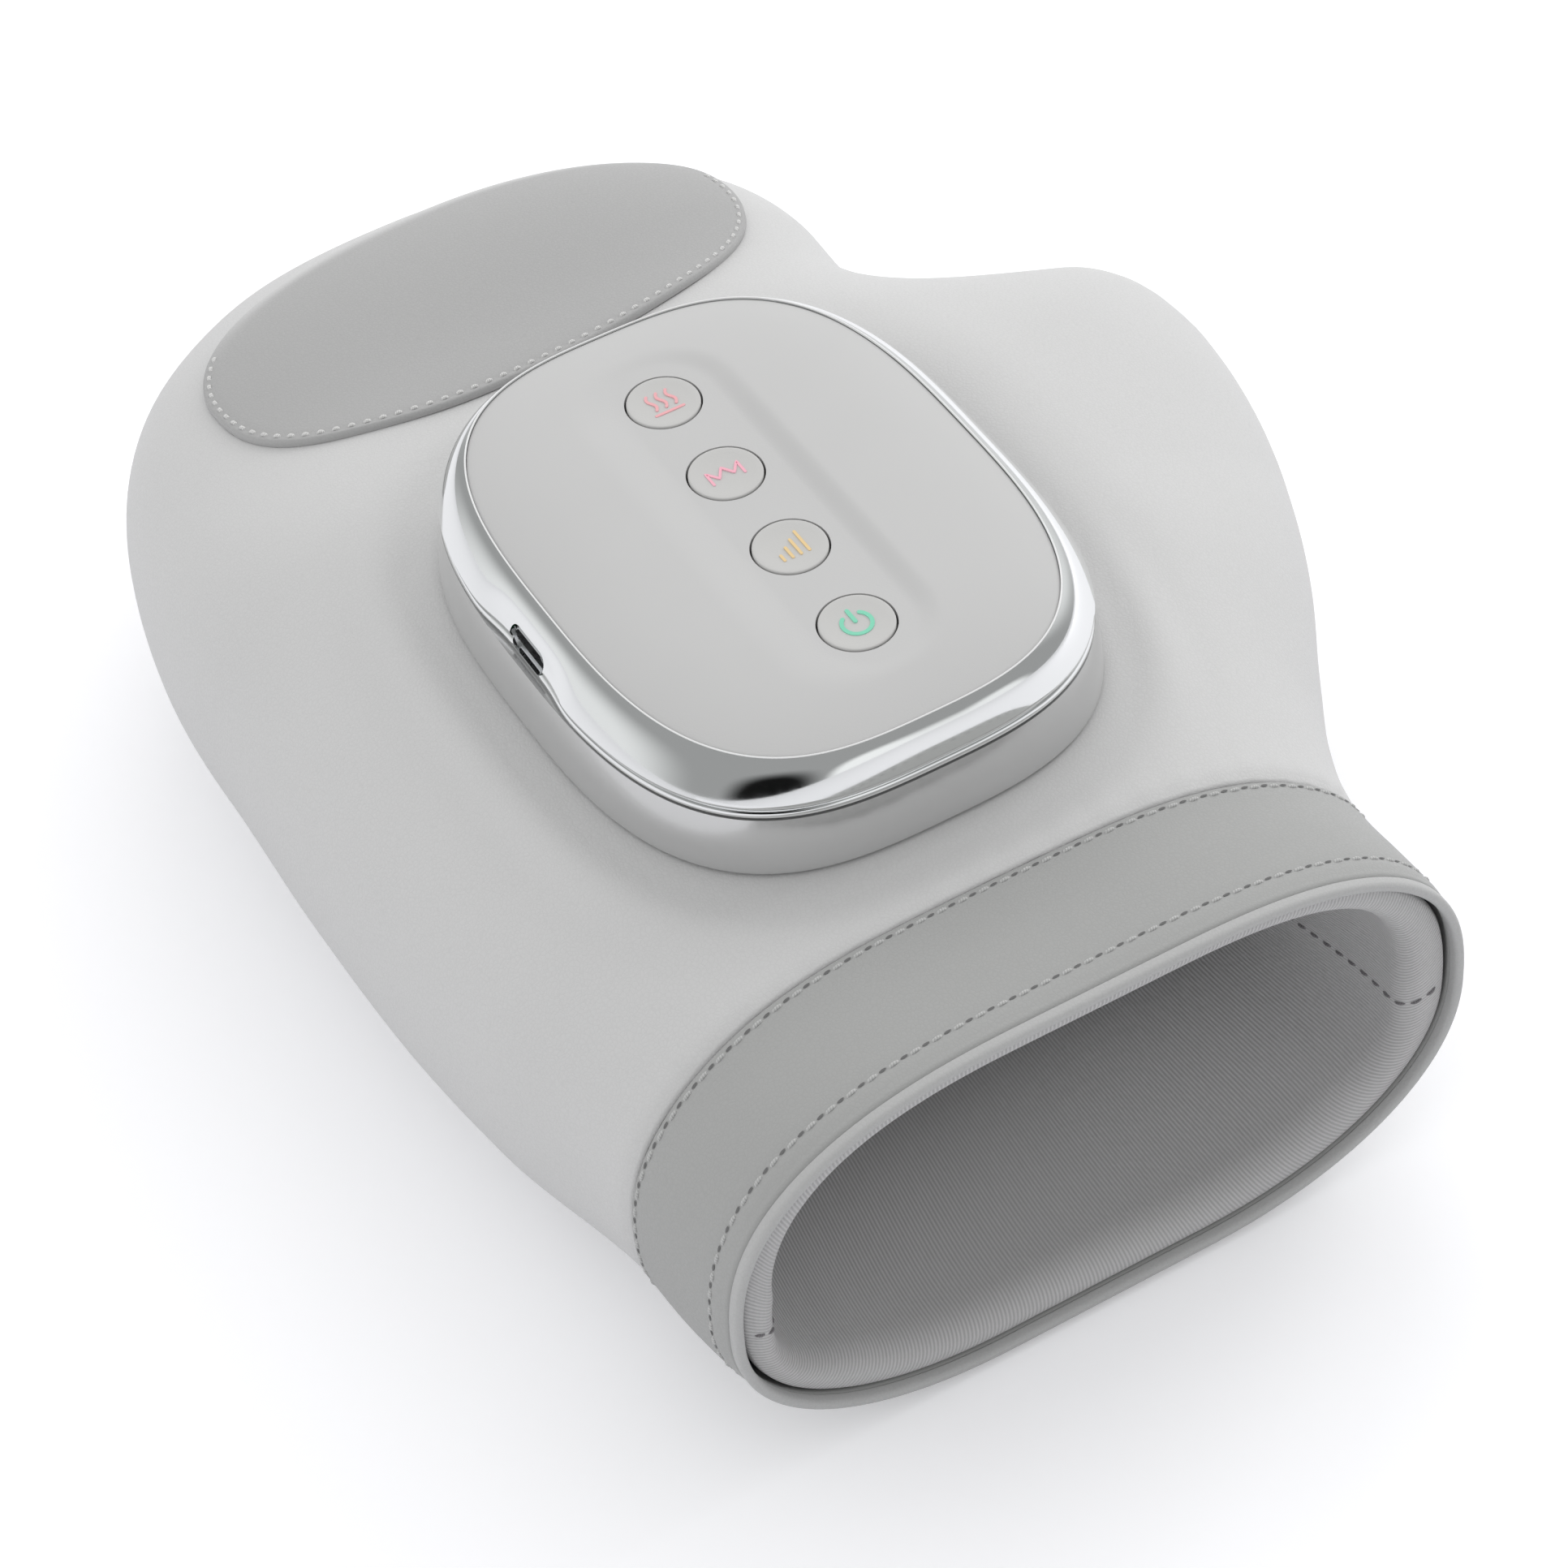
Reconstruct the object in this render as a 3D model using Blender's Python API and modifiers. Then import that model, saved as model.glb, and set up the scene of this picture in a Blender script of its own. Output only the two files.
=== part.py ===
# Hand massager: a padded leather mitt with air bags and heating films round a hand pocket,
# and a control module on its back with four buttons, a pump, two valves and a battery.
# Units are metres. +Z is up, +Y points to the fingertips, +X to the thumb.
# The origin is on the floor under the middle of the control module.
import math
import bpy
import bmesh
import numpy as np

# Mitt outline, seen from above. The shares follow mitt_length and mitt_width.
mitt_length = 0.2255
mitt_width = 0.1770
# Each pair is a place along the mitt and the edge there, from the cuff to the fingers.
thumb_edge_shares = ((-0.395, 0.339), (-0.337, 0.336), (-0.275, 0.348), (-0.220, 0.374),
                     (-0.164, 0.413), (-0.090, 0.471), (-0.018, 0.518), (0.035, 0.545),
                     (0.089, 0.565), (0.130, 0.575), (0.170, 0.580), (0.200, 0.578),
                     (0.225, 0.571), (0.245, 0.558), (0.262, 0.540), (0.275, 0.516),
                     (0.285, 0.482), (0.295, 0.445), (0.306, 0.408), (0.318, 0.377),
                     (0.332, 0.358), (0.350, 0.350), (0.404, 0.354))
outer_edge_shares = ((-0.395, -0.339), (-0.346, -0.345), (-0.293, -0.353), (-0.155, -0.393),
                     (0.022, -0.411), (0.200, -0.408))
fingertip_share = 0.611
fingertip_side_share = 0.0145
thumb_edge_exponent = 2.0
outer_edge_exponent = 2.35
cuff_share = -0.395
seam_share = -0.277

# Mitt heights. The fold is its widest line.
fold_height = 0.0330
crown_height = 0.0318
crown_shares = ((-0.395, 1.116), (-0.346, 1.063), (-0.293, 0.990), (-0.222, 1.0), (0.222, 1.0),
                (0.355, 0.893), (0.466, 0.835), (0.611, 0.635))
belly_shares = ((-0.395, 0.970), (-0.346, 0.988), (-0.266, 1.0), (0.399, 1.0), (0.611, 0.790))
crown_round = 0.0480
crown_exponent = 2.5
belly_round = 0.0440
belly_exponent = 2.15
thumb_drop_share = 0.25
thumb_drop_start = 0.0450
thumb_drop_run = 0.0550
thumb_drop_back = 0.0400
seam_bow = 0.0040
cuff_width_share = 0.69
seat_margin = 0.0050
seat_blend = 0.0080

# Mitt layers
leather = 0.0015
lining = 0.0008
edge_gap = 0.0003
seam_gap = 0.0007
least_square = 0.4
skin_clearance = 0.0005
patch_gap = 0.0005
upper_foam = 0.0050
lower_foam = 0.0030
heater_film = 0.0006
patch_leather = 0.0008
binding_radius = 0.0010
link_radius = 0.0018

# Hand pocket
pocket_width_share = 0.775
pocket_floor_share = 0.394
pocket_height_share = 0.432
pocket_setback = 0.0180
mouth_setback = 0.0120
lining_roll = 0.0052
roll_limit_share = 0.6
pocket_exponent = 3.0
pocket_tip_exponent = 5.0

# Fingertip patch, seen from above. The shares are half of its length, half of its width,
# and how far its middle lies behind the fingertips.
patch_shift = 0.0010
patch_length_share = 0.268
patch_width_share = 0.124
patch_setback_share = 0.193
patch_exponent = 2.35
patch_lean_share = 0.08
patch_row_shares = (0.0, 0.3, 0.6, 0.85, 1.0)

# Control module outlines. The shares are half of its width and half of its length.
module_width_share = 0.2302
module_length_share = 0.2237
module_exponent = 3.0
bezel_height = 0.0079
bezel_step_x = 0.0012
bezel_step_y = 0.0008
bezel_width_x = 0.0054
bezel_width_y = 0.0031
module_height = 0.0187
seat_gap = 0.0003
moulding = 0.0016
flange_width = 0.0096
tub_exponent = 5.0
tub_depth = 0.0133
flange = 0.0020
tub_edge = 0.0010
skirt_edge = 0.0003

# Top panel and buttons
panel_thickness = 0.0023
panel_crown = 0.00275
panel_crown_exponent = 5.0
panel_ring_shares = (1.0, 0.97, 0.92, 0.86, 0.78, 0.68, 0.55, 0.35)
panel_recess_share = 0.80
ledge_width = 0.0031
ledge_thickness = 0.0009
bezel_crown = 0.00025
bezel_wall = 0.0023
bezel_wide_share = 0.28
bezel_lip_share = 0.12
bezel_turns = (0, 14, 32, 50, 70, 90)
dish_depth = 0.0011
dish_half_width = 0.0100
dish_slope = 0.0036
dish_step_share = 0.75
button_radius = 0.0055
button_pitch_share = 0.393
button_shift = -0.00024
button_gap = 0.0003
button_proud = 0.00015
# Each pair is a share of the button's radius and how far down its face lies there, in button_proud.
button_face_shares = ((0.0, 2.0), (0.6, 1.4), (0.9, 0.0), (1.0, 1.0))
button_rim = 0.0010
button_flange = 0.0010
stem_radius = 0.0016
button_travel = 0.0005
button_names = ("power", "level", "mode", "heat")

# Port on the outer side of the bezel
port_rise = 0.0024
port_width = 0.0090
port_tall = 0.0030
port_depth = 0.0075
port_wall = 0.0004
port_round_share = 0.34
slot_margin = 0.0004
scallop_length = 0.0130
scallop_tall = 0.0050
scallop_depth = 0.0011

# Board, frame round the buttons, and switches
board_margin = 0.0032
board_thickness = 0.0016
board_drop = 0.0018
frame_half_x = 0.0140
frame_length_share = 0.815
frame_thickness = 0.0034
frame_well = 0.0048
switch_side = 0.0060
switch_height = 0.0030
switch_well = 0.0018

# Clamp plate and screws
clamp_thickness = 0.0020
clamp_margin = 0.0023
screw_margin = 0.0067
screw_place_share = 0.396
boss_radius = 0.0025
boss_bore = 0.0012
screw_radius = 0.0009
screw_head = 0.0019
screw_head_height = 0.0012
screw_top_share = 0.8
clamp_screw_length = 0.0090
board_screw_length = 0.0040

# Battery, pump, valves and air way. The shares are of half of the tub's width or length.
battery_radius = 0.00915
battery_length_share = 1.59
battery_place_share = -0.49
motor_radius = 0.0095
motor_length_share = 0.61
pump_place_share = 0.42
pump_start_share = -0.83
cage_length_share = 0.27
cage_wall = 0.0012
cage_window = 0.0060
shaft_radius = 0.0010
eccentric_radius = 0.0050
eccentric_offset = 0.0010
eccentric_width = 0.0040
head_length_share = 0.293
head_half_width = 0.0095
head_edge = 0.0019
nipple_radius = 0.0020
nipple_length_share = 0.098
manifold_length = 0.0096
manifold_half_x = 0.0120
manifold_height = 0.0060
valve_side = 0.0096
valve_height = 0.0130
valve_spacing = 0.0130
valve_place_share = 0.66
plunger_radius = 0.0020
plunger_length = 0.0085
valve_bore_depth = 0.0110
bag_hose_radius = 0.0018
overrun = 0.0020

# Counts
around = 28
oval_count = 40
outline_count = 120
funnel_rows = 5
roll_rows = 4
wide_sides = 24
round_sides = 20
bore_sides = 16
small_sides = 12
sharp_angle = 35
cuff_rows_shares = (0.0, 0.26, 0.52, 0.78, 1.0)
body_rows_shares = (0.0, 0.06, 0.126, 0.21, 0.292, 0.353, 0.413, 0.48, 0.539, 0.584, 0.615, 0.635, 0.652,
                    0.672, 0.697, 0.735, 0.776, 0.826, 0.872, 0.912, 0.947, 0.972, 0.989, 0.9975, 1.0)
sole_last_row = 20
wrap_steps = 3

seat_height = fold_height + crown_height
pocket_floor = pocket_floor_share * fold_height
pocket_height = pocket_height_share * seat_height
panel_top = seat_height + module_height
panel_under = panel_top - panel_thickness
dish_floor = panel_top + panel_crown - dish_depth
tip_y = fingertip_share * mitt_length
cuff_y = cuff_share * mitt_length
seam_y = seam_share * mitt_length
patch_middle = (patch_shift, tip_y - patch_setback_share * mitt_length)
patch_half_length = patch_length_share * mitt_width
patch_half_width = patch_width_share * mitt_length
module_half_x = module_width_share * mitt_width
module_half_y = module_length_share * mitt_length
bezel_half_x = module_half_x - bezel_step_x
bezel_half_y = module_half_y - bezel_step_y
panel_half_x = bezel_half_x - bezel_width_x
panel_half_y = bezel_half_y - bezel_width_y
clamp_half_x = module_half_x - clamp_margin
clamp_half_y = module_half_y - clamp_margin
board_half_x = module_half_x - board_margin
board_half_y = module_half_y - board_margin
tub_half_x = module_half_x - flange_width
tub_half_y = module_half_y - flange_width
screw_place_x = module_half_x - screw_margin
screw_place_y = screw_place_share * module_half_y
button_pitch = button_pitch_share * panel_half_y
frame_half_y = frame_length_share * panel_half_y
battery_length = battery_length_share * tub_half_y
battery_place_x = battery_place_share * tub_half_x
pump_place_x = pump_place_share * tub_half_x
pump_start_y = pump_start_share * tub_half_y
motor_length = motor_length_share * tub_half_y
cage_length = cage_length_share * tub_half_y
head_length = head_length_share * tub_half_y
nipple_length = nipple_length_share * tub_half_y
valve_place_y = valve_place_share * tub_half_y
skirt_top = panel_top - bezel_height - seat_gap
board_height = skirt_top - board_drop
port_height = skirt_top + seat_gap + port_rise
flange_under = seat_height + seat_gap
tub_under = seat_height - tub_depth
tub_floor = tub_under + moulding
weld_distance = edge_gap / 100


def clear_scene():
    for item in list(bpy.data.objects):
        bpy.data.objects.remove(item)


def make_collection(name):
    collection = bpy.data.collections.new(name)
    bpy.context.scene.collection.children.link(collection)
    return collection


clear_scene()
parts = make_collection("hand_massager")
cutters = make_collection("cutters")

# Colour, roughness and metallic value of each finish
finishes = {
    "light_leather": ((0.60, 0.59, 0.57), 0.55, 0.0),
    "dark_leather": ((0.40, 0.39, 0.38), 0.60, 0.0),
    "lining_cloth": ((0.33, 0.31, 0.32), 0.90, 0.0),
    "foam": ((0.75, 0.73, 0.66), 0.95, 0.0),
    "bladder": ((0.35, 0.42, 0.50), 0.60, 0.0),
    "heater": ((0.15, 0.12, 0.10), 0.60, 0.0),
    "grey_plastic": ((0.62, 0.62, 0.61), 0.35, 0.0),
    "panel_plastic": ((0.58, 0.57, 0.55), 0.50, 0.0),
    "chrome": ((0.80, 0.80, 0.80), 0.08, 1.0),
    "board": ((0.03, 0.22, 0.10), 0.50, 0.0),
    "black_plastic": ((0.03, 0.03, 0.03), 0.50, 0.0),
    "steel": ((0.55, 0.55, 0.55), 0.35, 1.0),
    "brass": ((0.70, 0.52, 0.20), 0.35, 1.0),
    "clear_hose": ((0.70, 0.72, 0.74), 0.30, 0.0),
    "battery_wrap": ((0.05, 0.18, 0.42), 0.45, 0.0),
}


def finish_material(name):
    material = bpy.data.materials.get(name)
    if material is None:
        colour, roughness, metallic = finishes[name]
        material = bpy.data.materials.new(name)
        material.use_nodes = True
        shader = material.node_tree.nodes["Principled BSDF"]
        shader.inputs["Base Color"].default_value = (*colour, 1.0)
        shader.inputs["Roughness"].default_value = roughness
        shader.inputs["Metallic"].default_value = metallic
        material.diffuse_color = (*colour, 1.0)
    return material


def add_object(name, mesh, finish, collection=None):
    item = bpy.data.objects.new(name, mesh)
    (collection or parts).objects.link(item)
    if finish:
        item.data.materials.append(finish_material(finish))
    return item


def mesh_from(name, points, faces):
    """A mesh of the points and faces, with doubled points merged and faces turned outwards."""
    mesh = bpy.data.meshes.new(name)
    mesh.from_pydata([tuple(point) for point in points], [], faces)
    work = bmesh.new()
    work.from_mesh(mesh)
    bmesh.ops.remove_doubles(work, verts=work.verts, dist=weld_distance)
    bmesh.ops.recalc_face_normals(work, faces=work.faces)
    work.to_mesh(mesh)
    work.free()
    return mesh


def smooth_shading(item):
    item.data.shade_smooth()
    item.data.set_sharp_from_angle(angle=math.radians(sharp_angle))


def add_cutter(name, mesh):
    item = add_object(name, mesh, None, cutters)
    item.hide_render = True
    item.display_type = "WIRE"
    return item


def cut(item, cutter, operation="DIFFERENCE"):
    modifier = item.modifiers.new(cutter.name, "BOOLEAN")
    modifier.operation = operation
    modifier.object = cutter
    modifier.solver = "EXACT"


def read_table(table, place):
    """Monotone cubic curve through the pairs of a table."""
    pairs = np.array(table)
    places, values = pairs[:, 0], pairs[:, 1]
    steps = np.diff(places)
    rises = np.diff(values) / steps
    slopes = np.zeros(len(places))
    slopes[0], slopes[-1] = rises[0], rises[-1]
    product = rises[:-1] * rises[1:]
    total = np.where(product > 0, rises[:-1] + rises[1:], 1)
    slopes[1:-1] = np.where(product > 0, 2 * product / total, 0)
    index = np.clip(np.searchsorted(places, place) - 1, 0, len(places) - 2)
    step = steps[index]
    t = (place - places[index]) / step
    from_left = (1 + 2 * t) * (1 - t) ** 2 * values[index] + t * (1 - t) ** 2 * step * slopes[index]
    from_right = t * t * (3 - 2 * t) * values[index + 1] + t * t * (t - 1) * step * slopes[index + 1]
    return from_left + from_right


def edge_place(table, exponent, y):
    """X of one edge of the mitt at each y: the table, then a superellipse round to the fingertips."""
    share = y / mitt_length
    start, last = table[-1]
    along = np.clip((share - start) / (fingertip_share - start), 0, 1)
    reach = (1 - along ** exponent) ** (1 / exponent)
    end = fingertip_side_share + (last - fingertip_side_share) * reach
    return mitt_width * np.where(share < start, read_table(table, np.minimum(share, start)), end)


def edges(y):
    return (edge_place(outer_edge_shares, outer_edge_exponent, y),
            edge_place(thumb_edge_shares, thumb_edge_exponent, y))


def edge_outline():
    """The mitt's outline as one line from the thumb side of the cuff round to the outer side."""
    turn = np.sin(np.linspace(0, math.pi / 2, outline_count))
    y = cuff_y + (tip_y - cuff_y) * turn
    left, right = edges(y)
    y = np.concatenate(([cuff_y - mitt_width], y, y[::-1][1:], [cuff_y - mitt_width]))
    x = np.concatenate((right[:1], right, left[::-1][1:], left[:1]))
    return np.column_stack((x, y))


outline = edge_outline()


def edge_distance(x, y):
    """How far each place inside the outline is from it."""
    start, end = outline[:-1], outline[1:]
    run = end - start
    place = np.stack((x, y), axis=-1)[..., None, :]
    length = np.maximum((run ** 2).sum(axis=1), np.finfo(float).tiny)
    t = np.clip(((place - start) * run).sum(axis=-1) / length, 0, 1)
    gap = place - start - t[..., None] * run
    return np.sqrt((gap ** 2).sum(axis=-1)).min(axis=-1)


def skin_level(x, y, upper):
    """Height of the mitt's outside at a place, on its back or on its underside."""
    inside = edge_distance(x, y)
    share = y / mitt_length
    if upper:
        toward = np.clip((x - thumb_drop_start) / thumb_drop_run, 0, 1)
        toward = toward * toward * (3 - 2 * toward)
        forward = np.clip((y + thumb_drop_back) / thumb_drop_back, 0, 1)
        height = crown_height * read_table(crown_shares, share) * (1 - thumb_drop_share * toward * forward)
        rounding, power = crown_round, crown_exponent
    else:
        height = -fold_height * read_table(belly_shares, share)
        rounding, power = belly_round, belly_exponent
    rise = np.clip(inside / rounding, 0, 1)
    level = fold_height + height * (1 - (1 - rise) ** power) ** (1 / power)
    if not upper:
        return level
    reach = (abs(x / module_half_x) ** module_exponent + abs(y / module_half_y) ** module_exponent)
    past = (reach ** (1 / module_exponent) - 1) * module_half_x - seat_margin
    past = np.clip(past / seat_blend, 0, 1)
    flat = 1 - past * past * (3 - 2 * past)
    return level * (1 - flat) + (fold_height + crown_height) * flat


turns = 2 * math.pi * np.arange(around) / around


def skin_rows(rows, first_y, last_y):
    """Rows of points round the mitt's outside. The seam of the cuff bows, so rows near it bow too."""
    grid = []
    for share in rows:
        y = np.full(around, first_y + share * (last_y - first_y))
        left, right = edges(y)
        x = (left + right) / 2 - (right - left) / 2 * np.cos(turns)
        near_seam = share if last_y == seam_y else 1 - share
        y = y - seam_bow * near_seam * (2 * x / (mitt_width * cuff_width_share)) ** 2
        left, right = edges(y)
        x = (left + right) / 2 - (right - left) / 2 * np.cos(turns)
        upper = np.sin(turns) >= 0
        z = np.where(upper, skin_level(x, y, True), skin_level(x, y, False))
        side = np.isclose(np.sin(turns), 0)
        z = np.where(side, fold_height, z)
        grid.append(np.column_stack((x, y, z)))
    return np.array(grid)


skin = skin_rows(body_rows_shares, seam_y, tip_y)
cuff_skin = skin_rows(cuff_rows_shares, cuff_y, seam_y)


def pocket_rows():
    """Rows of points round the hand pocket, matched to the rows of the mitt's outside."""
    mouth = seam_y + mouth_setback
    end = tip_y - pocket_setback
    middle = pocket_floor + pocket_height / 2
    grid = []
    for share in body_rows_shares:
        left, right = edges(np.full(around, seam_y + share * (tip_y - seam_y)))
        across = -np.cos(turns)
        x = (left + right) / 2 + pocket_width_share * (right - left) / 2 * across
        level = (1 - abs(across) ** pocket_exponent) ** (1 / pocket_exponent)
        level = level * (1 - share ** pocket_tip_exponent) ** (1 / pocket_tip_exponent)
        z = middle + pocket_height / 2 * level * np.sign(np.sin(turns))
        z = np.where(np.isclose(np.sin(turns), 0), middle, z)
        grid.append(np.column_stack((x, np.full(around, mouth + share * (end - mouth)), z)))
    return np.array(grid)


pocket = pocket_rows()


def moved_out(grid, distance):
    """The closed rows of points moved along their normals: outwards, or inwards below zero."""
    along = np.gradient(grid, axis=0)
    across = np.roll(grid, -1, axis=1) - np.roll(grid, 1, axis=1)
    normal = np.cross(across, along)
    length = np.maximum(np.linalg.norm(normal, axis=2, keepdims=True), np.finfo(float).tiny)
    return grid + normal / length * distance


def sheet_faces(rows, columns, closed):
    """Triangles of a sheet of rows and columns, all split along the same diagonal."""
    faces = []
    for i in range(rows - 1):
        for j in range(columns if closed else columns - 1):
            k = (j + 1) % columns
            a, b, c, d = i * columns + j, i * columns + k, (i + 1) * columns + k, (i + 1) * columns + j
            faces += [(a, b, c), (a, c, d)]
    return faces


def pull_row(grid, row, toward, distance):
    """Move a row toward another, further where the two lines meet at a slant."""
    run = grid[toward] - grid[row]
    run /= np.maximum(np.linalg.norm(run, axis=-1, keepdims=True), distance)
    line = np.gradient(grid[row], axis=0)
    line /= np.maximum(np.linalg.norm(line, axis=-1, keepdims=True), distance)
    square = np.linalg.norm(np.cross(run, line), axis=-1, keepdims=True)
    grid[row] = grid[row] + run * distance / np.maximum(square, least_square)


def pull_column(grid, column, toward, distance):
    pull_row(np.swapaxes(grid, 0, 1), column, toward, distance)


def shell(name, points, faces, thickness, finish, side=-1):
    """An open sheet with a wall: inwards with side -1, outwards with side 1."""
    mesh = bpy.data.meshes.new(name)
    mesh.from_pydata([tuple(point) for point in points], [], faces)
    work = bmesh.new()
    work.from_mesh(mesh)
    bmesh.ops.remove_doubles(work, verts=work.verts, dist=weld_distance)
    work.to_mesh(mesh)
    work.free()
    item = add_object(name, mesh, finish)
    wall = item.modifiers.new("wall", "SOLIDIFY")
    wall.thickness = thickness
    wall.offset = side
    wall.use_even_offset = True
    smooth_shading(item)
    return item


def layer(name, outer, inner, finish):
    """A solid between two matched sheets."""
    rows, columns = outer.shape[:2]
    count = rows * columns
    top = sheet_faces(rows, columns, False)
    faces = top + [(c + count, b + count, a + count) for a, b, c in top]
    rim = [j for j in range(columns)]
    rim += [i * columns + columns - 1 for i in range(1, rows)]
    rim += [(rows - 1) * columns + j for j in range(columns - 2, -1, -1)]
    rim += [i * columns for i in range(rows - 2, 0, -1)]
    for a, b in zip(rim, rim[1:] + rim[:1]):
        faces += [(b, a, a + count), (b, a + count, b + count)]
    points = np.concatenate((outer.reshape(-1, 3), inner.reshape(-1, 3)))
    item = add_object(name, mesh_from(name, points, faces), finish)
    smooth_shading(item)
    return item


def oval(half_x, half_y, exponent, count=oval_count):
    """Points of a superellipse."""
    turn = 2 * math.pi * np.arange(count) / count
    across, along = np.cos(turn), np.sin(turn)
    return np.column_stack((half_x * np.sign(across) * abs(across) ** (2 / exponent),
                            half_y * np.sign(along) * abs(along) ** (2 / exponent)))


def circle(middle_x, middle_y, radius, count):
    turn = 2 * math.pi * np.arange(count) / count
    return np.column_stack((middle_x + radius * np.cos(turn), middle_y + radius * np.sin(turn)))


def ring_loft(name, rings, closed):
    """A loft through level rings of (outline, height): joined into a loop, or capped at both ends."""
    count = len(rings[0][0])
    points = [(x, y, height) for ring, height in rings for x, y in ring]
    faces = []
    for i in range(len(rings) if closed else len(rings) - 1):
        here, there = i * count, (i + 1) % len(rings) * count
        for j in range(count):
            k = (j + 1) % count
            faces.append((here + j, here + k, there + k, there + j))
    if not closed:
        faces.append(tuple(reversed(range(count))))
        faces.append(tuple((len(rings) - 1) * count + j for j in range(count)))
    return mesh_from(name, points, faces)


def plate(name, outlines, bottom, top, finish, collection=None):
    """A flat plate: the first outline with the others cut out of it."""
    curve = bpy.data.curves.new(name, "CURVE")
    curve.dimensions = "2D"
    curve.fill_mode = "BOTH"
    curve.extrude = (top - bottom) / 2
    for points in outlines:
        spline = curve.splines.new("POLY")
        spline.points.add(len(points) - 1)
        for place, (x, y) in zip(spline.points, points):
            place.co = (x, y, 0, 1)
        spline.use_cyclic_u = True
    item = bpy.data.objects.new(name, curve)
    (collection or parts).objects.link(item)
    item.location = (0, 0, (bottom + top) / 2)
    if finish:
        curve.materials.append(finish_material(finish))
    return as_mesh(item)


def as_mesh(item):
    """The curve object as a welded mesh of the same name, so that it can be cut or can cut."""
    bpy.context.view_layer.update()
    evaluated = item.evaluated_get(bpy.context.evaluated_depsgraph_get())
    mesh = bpy.data.meshes.new_from_object(evaluated)
    work = bmesh.new()
    work.from_mesh(mesh)
    bmesh.ops.remove_doubles(work, verts=work.verts, dist=weld_distance)
    bmesh.ops.recalc_face_normals(work, faces=work.faces)
    work.to_mesh(mesh)
    work.free()
    name, matrix, collection = item.name, item.matrix_world.copy(), item.users_collection[0]
    bpy.data.objects.remove(item)
    solid = bpy.data.objects.new(name, mesh)
    collection.objects.link(solid)
    solid.matrix_world = matrix
    return solid


def rod(name, radius, start, end, finish, sides=round_sides, collection=None):
    """A cylinder from one point to another along X, Y or Z."""
    start, end = np.array(start), np.array(end)
    length = float(np.linalg.norm(end - start))
    axis = int(np.argmax(abs(end - start)))
    mesh = bpy.data.meshes.new(name)
    work = bmesh.new()
    bmesh.ops.create_cone(work, cap_ends=True, segments=sides, radius1=radius, radius2=radius, depth=length)
    work.to_mesh(mesh)
    work.free()
    item = add_object(name, mesh, finish, collection)
    item.location = (start + end) / 2
    item.rotation_euler = ((0, math.pi / 2, 0), (math.pi / 2, 0, 0), (0, 0, 0))[axis]
    smooth_shading(item)
    return item


def block(name, size, middle, finish, edge=None, collection=None):
    """A box of a size about its middle, with its edges rounded over."""
    mesh = bpy.data.meshes.new(name)
    work = bmesh.new()
    bmesh.ops.create_cube(work, size=1)
    bmesh.ops.scale(work, vec=size, verts=work.verts)
    work.to_mesh(mesh)
    work.free()
    item = add_object(name, mesh, finish, collection)
    item.location = middle
    if edge:
        bevel = item.modifiers.new("edge", "BEVEL")
        bevel.width = edge
        bevel.segments = 1
    return item


def as_cutter(item):
    item.hide_render = True
    item.display_type = "WIRE"
    return item


def hose(name, route, radius, finish, sides=1):
    curve = bpy.data.curves.new(name, "CURVE")
    curve.dimensions = "3D"
    curve.bevel_depth = radius
    curve.bevel_resolution = sides
    curve.use_fill_caps = True
    spline = curve.splines.new("POLY")
    spline.points.add(len(route) - 1)
    for place, point in zip(spline.points, route):
        place.co = (*point, 1)
    item = bpy.data.objects.new(name, curve)
    parts.objects.link(item)
    curve.materials.append(finish_material(finish))
    return item


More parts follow.
